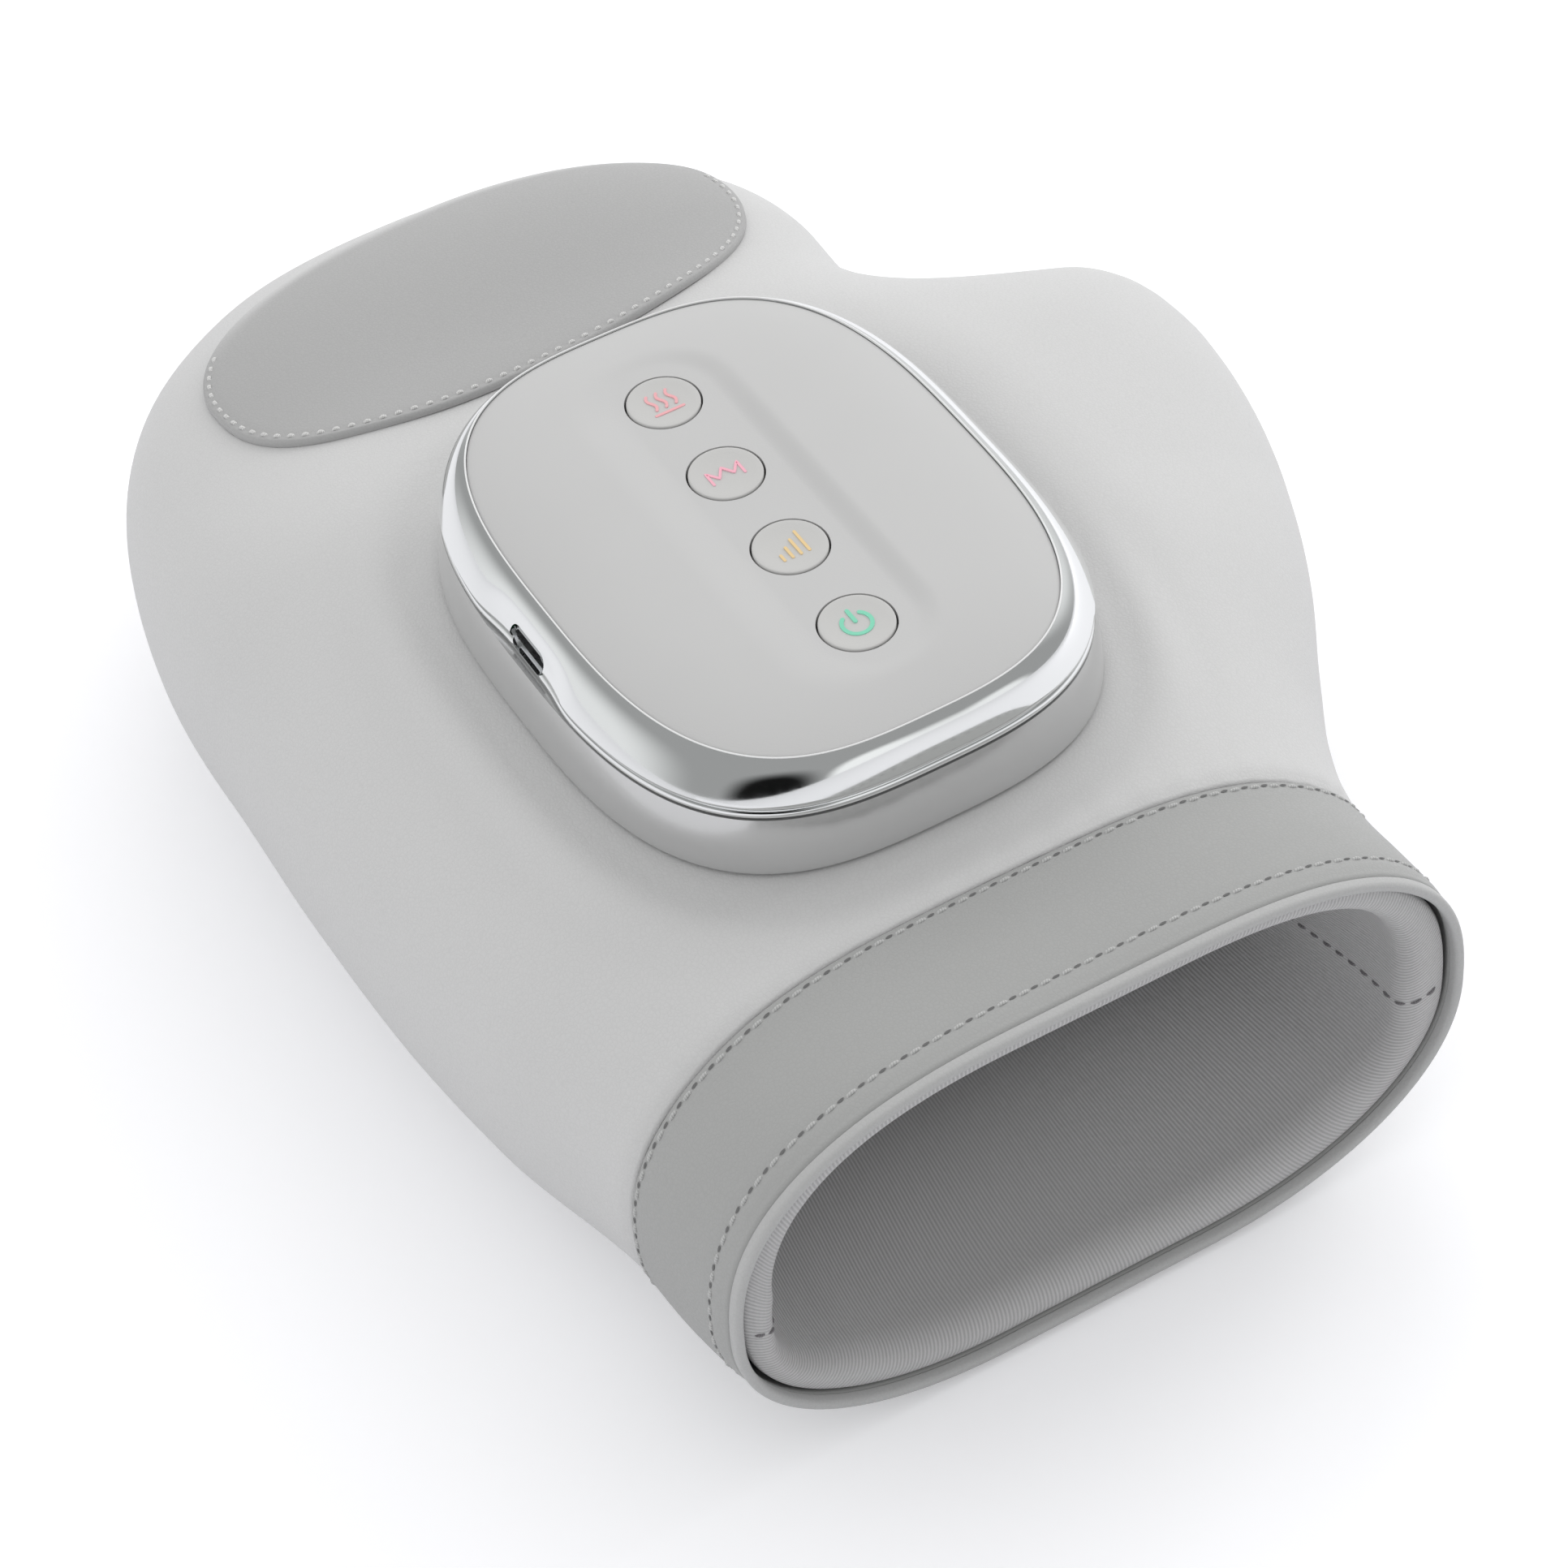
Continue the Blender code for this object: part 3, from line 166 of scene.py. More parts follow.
def addLamps(settings):
    # rectangles of light that look at the origin, and that mirrors leave out
    for name, place, width, height, power, colour in settings["lamps"]:
        lamp = bpy.data.objects.new(name, bpy.data.lights.new(name, "AREA"))
        lamp.data.shape = "RECTANGLE"
        lamp.data.size = width
        lamp.data.size_y = height
        lamp.data.energy = power
        lamp.data.color = colour
        lamp.location = place
        lamp.rotation_euler = (-Vector(place)).to_track_quat("-Z", "Y").to_euler()
        lamp.visible_glossy = False
        bpy.context.scene.collection.objects.link(lamp)


def addWorld(settings):
    # even light for matt surfaces, that may lean to one side; mirrors see a grey room instead,
    # with soft light and dark areas round given directions; the camera sees plain white
    world = bpy.data.worlds.new("studio")
    bpy.context.scene.world = world
    world.use_nodes = True
    tree = world.node_tree
    tree.nodes.clear()
    where, path = addNode(tree, "TexCoord").outputs["Generated"], addNode(tree, "LightPath").outputs
    inputs = {0: where, 1: settings["worldLean"]}
    lean = addNode(tree, "VectorMath", inputs, operation="DOT_PRODUCT").outputs["Value"]
    plain = addNode(tree, "Background", {"Strength": mathNode(tree, "ADD", lean, settings["worldLight"])})
    shade = settings["roomShade"]
    for direction, inner, outer, value in settings["roomAreas"]:
        length = math.hypot(*direction)
        inputs = {0: where, 1: [part / length for part in direction]}
        away = addNode(tree, "VectorMath", inputs, operation="DISTANCE").outputs["Value"]
        weight = rangeNode(tree, away, inner, outer, 1.0, 0.0, "SMOOTHSTEP")
        shade = addNode(tree, "Mix", {"Factor": weight, "A": shade, "B": value}).outputs["Result"]
    room = addNode(tree, "Background", {"Color": opaque(settings["roomColour"]), "Strength": shade})
    seen = addNode(tree, "Background", {"Color": opaque(settings["seenColour"])})
    mirrored = mathNode(tree, "MAXIMUM", path["Is Glossy Ray"], path["Is Transmission Ray"])
    lit = addNode(tree, "MixShader", {"Fac": mirrored, 1: plain.outputs[0], 2: room.outputs[0]})
    either = addNode(tree, "MixShader", {"Fac": path["Is Camera Ray"], 1: lit.outputs[0], 2: seen.outputs[0]})
    addNode(tree, "OutputWorld", {"Surface": either.outputs[0]})


def addFloor(settings):
    # a matt sheet just under the mitt, that looks a little brighter to the camera than it lights
    half = settings["floorHalf"]
    mesh = bpy.data.meshes.new("floor")
    mesh.from_pydata([(-half, -half, 0), (half, -half, 0), (half, half, 0), (-half, half, 0)], [], [(0, 1, 2, 3)])
    floor = bpy.data.objects.new("floor", mesh)
    floor.location = (0, 0, settings["floorZ"])
    bpy.context.scene.collection.objects.link(floor)
    material = bpy.data.materials.new("paleFloor")
    material.use_nodes = True
    tree = material.node_tree
    tree.nodes.clear()
    matt = addNode(tree, "BsdfDiffuse", {"Color": opaque(settings["floorColour"])})
    seen = addNode(tree, "LightPath").outputs["Is Camera Ray"]
    lift = addNode(tree, "Emission", {"Strength": mathNode(tree, "MULTIPLY", seen, settings["floorLift"])})
    both = addNode(tree, "AddShader", {0: matt.outputs[0], 1: lift.outputs[0]})
    addNode(tree, "OutputMaterial", {"Surface": both.outputs[0]})
    mesh.materials.append(material)


bpy.context.scene.view_settings.view_transform = "Standard"
addCamera(photoCamera)
addLamps(studio)
addWorld(studio)
addFloor(studio)
print("camera, lamps and floor ready")

# ---- shared shader groups


def shaderGroup(name, inputs, outputs, wire):
    # takes a vector and numbers with their defaults, and puts out the numbers that the wiring gives
    group = bpy.data.node_groups.new(name, "ShaderNodeTree")
    group.interface.new_socket("Vector", in_out="INPUT", socket_type="NodeSocketVector")
    for label, value in inputs.items():
        group.interface.new_socket(label, in_out="INPUT", socket_type="NodeSocketFloat").default_value = value
    for label in outputs:
        group.interface.new_socket(label, in_out="OUTPUT", socket_type="NodeSocketFloat")
    enter, leave = group.nodes.new("NodeGroupInput"), group.nodes.new("NodeGroupOutput")
    setInputs(group, leave, dict(zip(outputs, wire(group, enter.outputs))))
    return group


def leatherGrain(group, enter):
    # pebbles are the cells of a warped net, and height falls to the cell borders
    warp = addNode(group, "TexNoise", {"Vector": enter["Vector"], "Scale": 260, "Detail": 1}).outputs["Color"]
    inputs = {0: warp, 1: (0.0012, 0.0012, 0.0012), 2: enter["Vector"]}
    spread = addNode(group, "VectorMath", inputs, operation="MULTIPLY_ADD").outputs["Vector"]
    inputs = {"Vector": spread, "Scale": enter["Scale"]}
    border = addNode(group, "TexVoronoi", inputs, feature="DISTANCE_TO_EDGE").outputs["Distance"]
    fine = noiseNode(group, enter["Vector"], 5200)
    height = mathNode(group, "MULTIPLY_ADD", fine, 0.25, rangeNode(group, border, 0.0, 0.28))
    return height, rangeNode(group, border, 0.10, 0.0), noiseNode(group, enter["Vector"], 32, 3, 0.55)


def ribKnit(group, enter):
    # ribs run into the opening: a wave across the cloth's U, broken into small loops along V
    split = addNode(group, "SeparateXYZ", {0: enter["Vector"]}).outputs
    rib = bandNode(group, mathNode(group, "MULTIPLY", split["X"], enter["Ribs"]))
    step = mathNode(group, "MULTIPLY", split["Y"], mathNode(group, "MULTIPLY", enter["Ribs"], 0.8))
    both = mathNode(group, "MULTIPLY_ADD", bandNode(group, step), 0.12, rib)
    return mathNode(group, "MULTIPLY_ADD", noiseNode(group, enter["Vector"], 2600), 0.1, both), rib


def mouldedSkin(group, enter):
    # very fine spark erosion texture, and a slow unevenness
    return noiseNode(group, enter["Vector"], enter["Scale"]), noiseNode(group, enter["Vector"], 60)


shaderGroups = {
    "leather": shaderGroup("leatherGrain", {"Scale": 1400.0}, ("Height", "Crease", "Patch"), leatherGrain),
    "knit": shaderGroup("ribKnit", {"Ribs": 1000.0}, ("Height", "Shade"), ribKnit),
    "moulded": shaderGroup("mouldedSkin", {"Scale": 3800.0}, ("Height", "Patch"), mouldedSkin),
}


def useGroup(tree, key, vector, **values):
    # one use of a shared group, with its own numbers
    return addNode(tree, "Group", {"Vector": vector, **values}, node_tree=shaderGroups[key]).outputs


# ---- materials


def shaded(colour, share):
    # the colour times a share
    return tuple(channel * share for channel in colour)


def startMaterial(name, inputs):
    # a Principled material with its constant inputs, and its texture coordinates
    material = bpy.data.materials.new(name)
    material.use_nodes = True
    tree = material.node_tree
    shader = tree.nodes["Principled BSDF"]
    setInputs(tree, shader, inputs)
    return material, tree, shader, addNode(tree, "TexCoord").outputs


def leatherMaterial(name, colour, settings):
    # grain shades the creases and roughens the hollows; a slow patchiness varies the dye
    material, tree, shader, where = startMaterial(name, {
        "Sheen Weight": settings["sheen"], "Sheen Roughness": 0.4, "Specular IOR Level": settings["gloss"]})
    grain = useGroup(tree, "leather", where["Object"], Scale=settings["grain"])
    base = mixColour(tree, grain["Patch"], shaded(colour, settings["patchDark"]), colour)
    crease = mathNode(tree, "MULTIPLY", grain["Crease"], settings["creaseShade"])
    rough = settings["rough"]
    setInputs(tree, shader, {
        "Base Color": mixColour(tree, crease, base, shaded(colour, 0.55)),
        "Roughness": rangeNode(tree, grain["Height"], 0.0, 1.2, rough + 0.08, rough - 0.05),
        "Normal": bumpNode(tree, grain["Height"], settings["grainDepth"])})
    return material


def patchMaterial(name, colour, rimHighlightColour, settings):
    # leather painted toward the mitt's paler colour near the edge marked by the attribute: a painted rim highlight
    # where the patch turns over the fingertips
    material = leatherMaterial(name, colour, settings)
    tree = material.node_tree
    shader = tree.nodes["Principled BSDF"]
    rimHighlight = addNode(tree, "Attribute", attribute_name="paintedRimHighlight").outputs["Fac"]
    before = shader.inputs["Base Color"].links[0].from_socket
    setInputs(tree, shader, {"Base Color": mixColour(tree, rimHighlight, before, rimHighlightColour)})
    return material


def knitMaterial(name, colour, ribs, depth):
    # ribbed cloth: darker and rougher in the troughs
    material, tree, shader, where = startMaterial(name, {
        "Roughness": 0.9, "Sheen Weight": 0.35, "Sheen Roughness": 0.5, "Specular IOR Level": 0.25})
    knit = useGroup(tree, "knit", where["UV"], Ribs=ribs)
    setInputs(tree, shader, {
        "Base Color": mixColour(tree, knit["Shade"], shaded(colour, 0.72), colour),
        "Roughness": rangeNode(tree, knit["Shade"], 0, 1, 0.95, 0.80),
        "Normal": bumpNode(tree, knit["Height"], depth)})
    return material


def mouldedMaterial(name, colour, rough, depth=0.00001, plain=None):
    # moulded plastic: a fine skin in roughness and bump, and a slow unevenness of the colour
    material, tree, shader, where = startMaterial(name, {"Roughness": rough, **(plain or {})})
    skin = useGroup(tree, "moulded", where["Object"])
    setInputs(tree, shader, {
        "Base Color": mixColour(tree, skin["Patch"], shaded(colour, 0.97), colour),
        "Roughness": rangeNode(tree, skin["Height"], 0.3, 0.7, rough - 0.03, rough + 0.03),
        "Normal": bumpNode(tree, skin["Height"], depth)})
    return material


def metalMaterial(name, colour, rough, stretch=(1, 1, 1), depth=0.000004):
    # brushed or plated metal: noise drawn out along one axis, in roughness and a slight bump
    material, tree, shader, where = startMaterial(name, {"Roughness": rough, "Metallic": 1.0})
    stretched = addNode(tree, "Mapping", {"Vector": where["Object"], "Scale": stretch}).outputs["Vector"]
    streak, slow = noiseNode(tree, stretched, 900, 3), noiseNode(tree, where["Object"], 45)
    setInputs(tree, shader, {
        "Base Color": mixColour(tree, slow, shaded(colour, 0.96), colour),
        "Roughness": rangeNode(tree, streak, 0.3, 0.7, rough * 0.8, rough * 1.25)})
    if depth:
        setInputs(tree, shader, {"Normal": bumpNode(tree, streak, depth)})
    return material


def threadMaterial(name, colour):
    # twisted yarn: slanted bands along the stitch from its own UV
    material, tree, shader, where = startMaterial(name, {"Roughness": 0.7, "Sheen Weight": 0.3})
    split = addNode(tree, "SeparateXYZ", {0: where["UV"]}).outputs
    band = bandNode(tree, mathNode(tree, "ADD", mathNode(tree, "MULTIPLY", split["X"], 5.0), split["Y"]))
    setInputs(tree, shader, {
        "Base Color": mixColour(tree, band, shaded(colour, 0.75), colour),
        "Normal": bumpNode(tree, band, 0.00006)})
    return material


def glowMaterial(name, colour, strength):
    # a lit sign under a clear face
    material, tree, shader, where = startMaterial(name, {"Roughness": 0.4, "Emission Strength": strength})
    skin = useGroup(tree, "moulded", where["Object"])
    tint = mixColour(tree, skin["Patch"], shaded(colour, 0.9), colour)
    setInputs(tree, shader, {"Base Color": tint, "Emission Color": tint})
    return material


leatherLook = {
    "grain": 1500.0, "grainDepth": 0.000018, "creaseShade": 0.10, "patchDark": 0.975, "rough": 0.52, "sheen": 0.05,
    "gloss": 0.35,
}
soleLook = {**leatherLook, "rough": 0.58}
ribsPerMetre, ribDepth = 1600.0, 0.00010
paleLeather = (0.612, 0.612, 0.611)
signLight = 0.25
finishes = {
    # maker: name, colour and what else the maker takes
    leatherMaterial: (
        ("lightLeather", paleLeather, leatherLook),
        ("cuffLeather", (0.385, 0.388, 0.383), leatherLook),
        # the cuff's leather painted lighter for the binding: painted light for its rim and its shaded underside
        ("bindingLeather", (0.470, 0.472, 0.470), leatherLook),
        ("soleLeather", (0.560, 0.557, 0.550), soleLook),
    ),
    # the patch's leather, with the pale leather as a painted rim highlight at its edge toward the fingertips
    patchMaterial: (("patchLeather", (0.410, 0.410, 0.409), paleLeather, leatherLook),),
    knitMaterial: (
        ("liningKnit", (0.560, 0.555, 0.560), ribsPerMetre, ribDepth),
        ("pocketKnit", (0.500, 0.492, 0.496), ribsPerMetre, ribDepth),
    ),
    mouldedMaterial: (
        # satin silver paint under a thin clear coat
        ("skirtPlastic", (0.660, 0.661, 0.661), 0.17, 0.000003,
         {"Metallic": 0.75, "Coat Weight": 0.3, "Coat Roughness": 0.05}),
        ("panelPlastic", (0.560, 0.560, 0.558), 0.38),
        ("buttonPlastic", (0.560, 0.558, 0.548), 0.38),
        # a painted highlight: the light bead along the panel's edge
        ("paleTrim", (0.850, 0.855, 0.855), 0.30, 0.000002),
        ("blackPlastic", (0.028, 0.028, 0.030), 0.45),
        ("greyPlastic", (0.420, 0.420, 0.420), 0.40),
        ("boardGreen", (0.020, 0.170, 0.075), 0.35, 0.00002),
        ("cellWrap", (0.045, 0.150, 0.360), 0.28, 0.00003),
        ("foam", (0.700, 0.680, 0.590), 0.9, 0.0003),
        ("bladder", (0.300, 0.360, 0.430), 0.35, 0.00005),
        ("heaterFilm", (0.160, 0.100, 0.060), 0.5, 0.00004),
        ("hose", (0.620, 0.640, 0.650), 0.25, 0.00001),
        # painted shade: dark ovals that stand for the shade in the needle holes
        ("needleHole", (0.150, 0.150, 0.150), 0.8),
    ),
    metalMaterial: (
        ("chrome", (0.86, 0.87, 0.87), 0.07, (1, 1, 1), 0),
        ("steel", (0.56, 0.57, 0.58), 0.28, (1, 1, 12)),
        ("brass", (0.72, 0.55, 0.24), 0.28, (1, 12, 1)),
    ),
    threadMaterial: (
        ("patchThread", (0.780, 0.780, 0.770)),
        ("cuffThread", (0.550, 0.555, 0.548)),
        ("liningThread", (0.210, 0.200, 0.210)),
    ),
    glowMaterial: (
        ("redGlow", (0.70, 0.35, 0.37), signLight),
        ("pinkGlow", (0.76, 0.38, 0.46), signLight),
        ("amberGlow", (0.66, 0.49, 0.25), signLight),
        ("greenGlow", (0.19, 0.56, 0.40), signLight),
    ),
}
looks = {row[0]: maker(*row) for maker, rows in finishes.items() for row in rows}
print("materials ready")

# ---- the mitt's outline and surface

mitt = {
    "length": 0.2255, "width": 0.1770, "cuffShare": -0.395, "seamShare": -0.277,
    "tipShare": 0.611, "tipSideShare": 0.0145, "thumbExponent": 2.0, "outerExponent": 2.35,
    # each pair is a place along the length with one across the width, or with a share of the height
    "thumbEdge": (
        (-0.395, 0.339), (-0.337, 0.336), (-0.275, 0.348), (-0.220, 0.374), (-0.164, 0.413), (-0.090, 0.471),
        (-0.018, 0.518), (0.035, 0.545), (0.089, 0.565), (0.130, 0.575), (0.170, 0.580), (0.200, 0.578),
        (0.225, 0.571), (0.245, 0.558), (0.262, 0.540), (0.275, 0.516), (0.285, 0.482), (0.295, 0.445),
        (0.306, 0.408), (0.318, 0.377), (0.332, 0.358), (0.350, 0.350), (0.404, 0.354),
    ),
    "outerEdge": (
        (-0.395, -0.339), (-0.346, -0.345), (-0.293, -0.353), (-0.155, -0.393), (0.022, -0.411), (0.200, -0.408),
    ),
    "crownLine": (
        (-0.395, 1.116), (-0.346, 1.063), (-0.293, 0.990), (-0.222, 1.0), (0.222, 1.0), (0.355, 0.893),
        (0.466, 0.835), (0.611, 0.635),
    ),
    "bellyLine": ((-0.395, 0.970), (-0.346, 0.988), (-0.266, 1.0), (0.399, 1.0), (0.611, 0.790)),
    "fold": 0.0330, "crown": 0.0318,
    "crownRound": 0.0480, "crownExponent": 2.5, "bellyRound": 0.0440, "bellyExponent": 2.15,
    "thumbDrop": 0.25, "thumbDropStart": 0.0450, "thumbDropRun": 0.0550, "thumbDropBack": 0.0400,
    "seamBow": 0.0040, "cuffWidthShare": 0.69, "seatMargin": 0.0050, "seatBlend": 0.0080,
    "dipDepth": 0.0006, "dipRun": 0.0035, "swellHeight": 0.0007, "swellPlace": 0.0150, "swellRun": 0.0080,
    "calmEdge": 0.004, "calmRun": 0.020,
}
module = {
    "halfX": 0.2302 * mitt["width"], "halfY": 0.2237 * mitt["length"], "exponent": 3.0,
    "stepX": 0.0012, "stepY": 0.0008, "ringX": 0.0054, "ringY": 0.0031, "flange": 0.0096,
    "height": 0.0187, "bezelHeight": 0.0079, "gap": 0.0003, "moulding": 0.0016,
    "tubDepth": 0.0133, "clampMargin": 0.0023, "panelThick": 0.0023,
}
cuffY = mitt["cuffShare"] * mitt["length"]
seamY = mitt["seamShare"] * mitt["length"]
tipY = mitt["tipShare"] * mitt["length"]
seatZ = mitt["fold"] + mitt["crown"]
tubZ = seatZ - module["tubDepth"]
panelZ = seatZ + module["height"]
leather, lining, gap = 0.0015, 0.0008, 0.0003


def readTable(table, place):
    # monotone cubic curve through the pairs of a table
    pairs = np.array(table)
    places, values = pairs[:, 0], pairs[:, 1]
    steps = np.diff(places)
    rises = np.diff(values) / steps
    slopes = np.zeros(len(places))
    slopes[0], slopes[-1] = rises[0], rises[-1]
    product = rises[:-1] * rises[1:]
    total = np.where(product > 0, rises[:-1] + rises[1:], 1)
    slopes[1:-1] = np.where(product > 0, 2 * product / total, 0)
    index = np.clip(np.searchsorted(places, place) - 1, 0, len(places) - 2)
    step = steps[index]
    t = (place - places[index]) / step
    fromLeft = (1 + 2 * t) * (1 - t) ** 2 * values[index] + t * (1 - t) ** 2 * step * slopes[index]
    return fromLeft + t * t * (3 - 2 * t) * values[index + 1] + t * t * (t - 1) * step * slopes[index + 1]


def smoothStep(value, low, high):
    # eases from zero at the low end to one at the high end
    t = np.clip((value - low) / (high - low), 0, 1)
    return t * t * (3 - 2 * t)


def edgePlace(table, exponent, y):
    # the edge's table, then a superellipse round to the fingertips
    share = y / mitt["length"]
    start, last = table[-1]
    along = np.clip((share - start) / (mitt["tipShare"] - start), 0, 1)
    reach = (1 - along ** exponent) ** (1 / exponent)
    end = mitt["tipSideShare"] + (last - mitt["tipSideShare"]) * reach
    return mitt["width"] * np.where(share < start, readTable(table, np.minimum(share, start)), end)


def edges(y):
    # the outer side and the thumb side
    outer = edgePlace(mitt["outerEdge"], mitt["outerExponent"], y)
    return outer, edgePlace(mitt["thumbEdge"], mitt["thumbExponent"], y)


def edgeOutline(count=260):
    # both sides joined at the fingertips, with straight ends far behind the cuff
    y = cuffY + (tipY - cuffY) * np.sin(np.linspace(0, math.pi / 2, count))
    left, right = edges(y)
    far = cuffY - mitt["width"]
    y = np.concatenate(([far], y, y[::-1][1:], [far]))
    return np.column_stack((np.concatenate((right[:1], right, left[::-1][1:], left[:1])), y))


outline = edgeOutline()


def edgeDistance(x, y, block=4000):
    # distance to the nearest stretch of the outline, for one block of places after another
    shape = np.shape(x)
    place = np.column_stack((np.ravel(x), np.ravel(y)))
    start, run = outline[:-1], np.diff(outline, axis=0)
    length = np.maximum((run ** 2).sum(axis=1), 1e-30)
    nearest = np.full(len(place), np.inf)
    for first in range(0, len(place), block):
        part = place[first:first + block, None, :]
        t = np.clip(((part - start) * run).sum(axis=-1) / length, 0, 1)
        away = part - start - t[..., None] * run
        nearest[first:first + block] = np.sqrt((away ** 2).sum(axis=-1)).min(axis=-1)
    return nearest.reshape(shape)


def pastModule(x, y):
    # how far outside the module's outline a place lies
    reach = abs(x / module["halfX"]) ** module["exponent"] + abs(y / module["halfY"]) ** module["exponent"]
    return (reach ** (1 / module["exponent"]) - 1) * module["halfX"]


def skinLevel(x, y, upper):
    # height over the floor: fold height plus a rounded rise with the distance from the edge,
    # flat where the module sits; the back also dips beside the module and swells further out
    inside = edgeDistance(x, y)
    share = y / mitt["length"]
    if upper:
        toward = smoothStep(x, mitt["thumbDropStart"], mitt["thumbDropStart"] + mitt["thumbDropRun"])
        forward = np.clip((y + mitt["thumbDropBack"]) / mitt["thumbDropBack"], 0, 1)
        height = mitt["crown"] * readTable(mitt["crownLine"], share) * (1 - mitt["thumbDrop"] * toward * forward)
        rounding, power = mitt["crownRound"], mitt["crownExponent"]
    else:
        height = -mitt["fold"] * readTable(mitt["bellyLine"], share)
        rounding, power = mitt["bellyRound"], mitt["bellyExponent"]
    rise = np.clip(inside / rounding, 0, 1)
    level = mitt["fold"] + height * (1 - (1 - rise) ** power) ** (1 / power)
    if not upper:
        return level
    past = pastModule(x, y)
    flat = 1 - smoothStep(past, mitt["seatMargin"], mitt["seatMargin"] + mitt["seatBlend"])
    level = level * (1 - flat) + seatZ * flat
    dip = -mitt["dipDepth"] * np.exp(-((past - mitt["dipRun"]) / mitt["dipRun"]) ** 2)
    swell = mitt["swellHeight"] * np.exp(-((past - mitt["swellPlace"]) / mitt["swellRun"]) ** 2)
    shown = smoothStep(past, 0, mitt["dipRun"])
    return level + (dip + swell) * shown * smoothStep(inside, mitt["calmEdge"], mitt["calmRun"])


def skinGrid(shares, turns, firstY, lastY, nearSeam):
    # rows across the mitt; each row bows near the cuff's seam; columns run round by the turn angle
    y = np.repeat((firstY + shares * (lastY - firstY))[:, None], len(turns), axis=1)
    left, right = edges(y)
    x = (left + right) / 2 - (right - left) / 2 * np.cos(turns)
    y = y - mitt["seamBow"] * nearSeam[:, None] * (2 * x / (mitt["width"] * mitt["cuffWidthShare"])) ** 2
    left, right = edges(y)
    x = (left + right) / 2 - (right - left) / 2 * np.cos(turns)
    z = np.where(np.sin(turns) >= 0, skinLevel(x, y, True), skinLevel(x, y, False))
    z = np.where(np.isclose(np.sin(turns), 0), mitt["fold"], z)
    return np.stack((x, y, z), axis=-1)


def gridNormals(grid):
    # outward directions of a grid that closes round, from the steps along and across it
    across = np.roll(grid, -1, axis=1) - np.roll(grid, 1, axis=1)
    normal = np.cross(across, np.gradient(grid, axis=0))
    return normal / np.maximum(np.linalg.norm(normal, axis=2, keepdims=True), 1e-12)


def softNoise(points, wavelength, seed):
    # a smooth random height: the sum of nine plane waves in seeded directions, over half their count
    waves = 9
    random = np.random.default_rng(seed)
    total = np.zeros(points.shape[:-1])
    for _ in range(waves):
        direction = random.normal(size=3)
        direction *= 2 * math.pi / (wavelength * random.uniform(0.7, 1.6)) / np.linalg.norm(direction)
        total += np.sin(points @ direction + random.uniform(0, 2 * math.pi))
    return total / (waves / 2)


# ---- mesh helpers


def editMesh(mesh, edit):
    # runs an edit on a working copy of the mesh, and takes the result
    work = bmesh.new()
    work.from_mesh(mesh)
    edit(work)
    work.to_mesh(mesh)
    work.free()


def mergeDoubles(work):
    # joins points that lie in one place, and drops the faces that vanish
    bmesh.ops.remove_doubles(work, verts=work.verts, dist=1e-6)
    bmesh.ops.dissolve_degenerate(work, edges=work.edges, dist=1e-7)


def meshPiece(name, points, faces, look, uv=None, smoothAngle=None, weld=True):
    # a smooth mesh in a look, sharp where faces meet at more than the angle
    mesh = bpy.data.meshes.new(name)
    faces = faces.tolist() if isinstance(faces, np.ndarray) else faces
    mesh.from_pydata(np.asarray(points, float).reshape(-1, 3), [], faces)
    if uv is not None:
        layer = mesh.uv_layers.new(name="UVMap")
        corners = np.empty(len(mesh.loops), np.int32)
        mesh.loops.foreach_get("vertex_index", corners)
        layer.data.foreach_set("uv", np.asarray(uv, np.float32).reshape(-1, 2)[corners].ravel())
    if weld:
        editMesh(mesh, mergeDoubles)
    piece = bpy.data.objects.new(name, mesh)
    bpy.context.scene.collection.objects.link(piece)
    mesh.materials.append(looks[look])
    mesh.shade_smooth()
    if smoothAngle:
        mesh.set_sharp_from_angle(angle=math.radians(smoothAngle))
    return piece


def gridFaces(rows, columns, closed=False, flip=False):
    # a quad between each two rows and columns; a closed grid joins its last column to its first
    i, j = np.meshgrid(np.arange(rows - 1), np.arange(columns if closed else columns - 1), indexing="ij")
    k = (j + 1) % columns
    faces = np.stack((i * columns + j, i * columns + k, (i + 1) * columns + k, (i + 1) * columns + j), axis=-1)
    faces = faces.reshape(-1, 4)
    return faces[:, ::-1] if flip else faces


def facesOutward(piece, outward=True):
    # turns all faces to the outside, or all to the inside
    def turn(work):
        bmesh.ops.recalc_face_normals(work, faces=work.faces)
        if not outward:
            bmesh.ops.reverse_faces(work, faces=work.faces)

    editMesh(piece.data, turn)


def addWall(piece, thickness):
    # gives the sheet its thickness on the inner side
    wall = piece.modifiers.new("wall", "SOLIDIFY")
    wall.thickness = thickness
    wall.offset = -1
    wall.use_even_offset = False
    applyAll(piece)


def applyAll(piece):
    # keeps the modifiers' result as the piece's own mesh
    bpy.context.view_layer.update()
    evaluated = piece.evaluated_get(bpy.context.evaluated_depsgraph_get())
    mesh = bpy.data.meshes.new_from_object(evaluated)
    piece.modifiers.clear()
    piece.data = mesh


def cutBy(piece, *cutters, sharpAngle=32):
    # takes the cutters out of the piece, and removes them
    for cutter in cutters:
        modifier = piece.modifiers.new("cut", "BOOLEAN")
        modifier.operation = "DIFFERENCE"
        modifier.solver = "EXACT"
        modifier.object = cutter
    applyAll(piece)
    for cutter in cutters:
        bpy.data.objects.remove(cutter)
    piece.data.shade_smooth()
    piece.data.set_sharp_from_angle(angle=math.radians(sharpAngle))


def sideFaces(count, first=0):
    # quads between two rings of points that follow each other
    after = [(k + 1) % count for k in range(count)]
    return [(first + k, first + after[k], first + count + after[k], first + count + k) for k in range(count)]


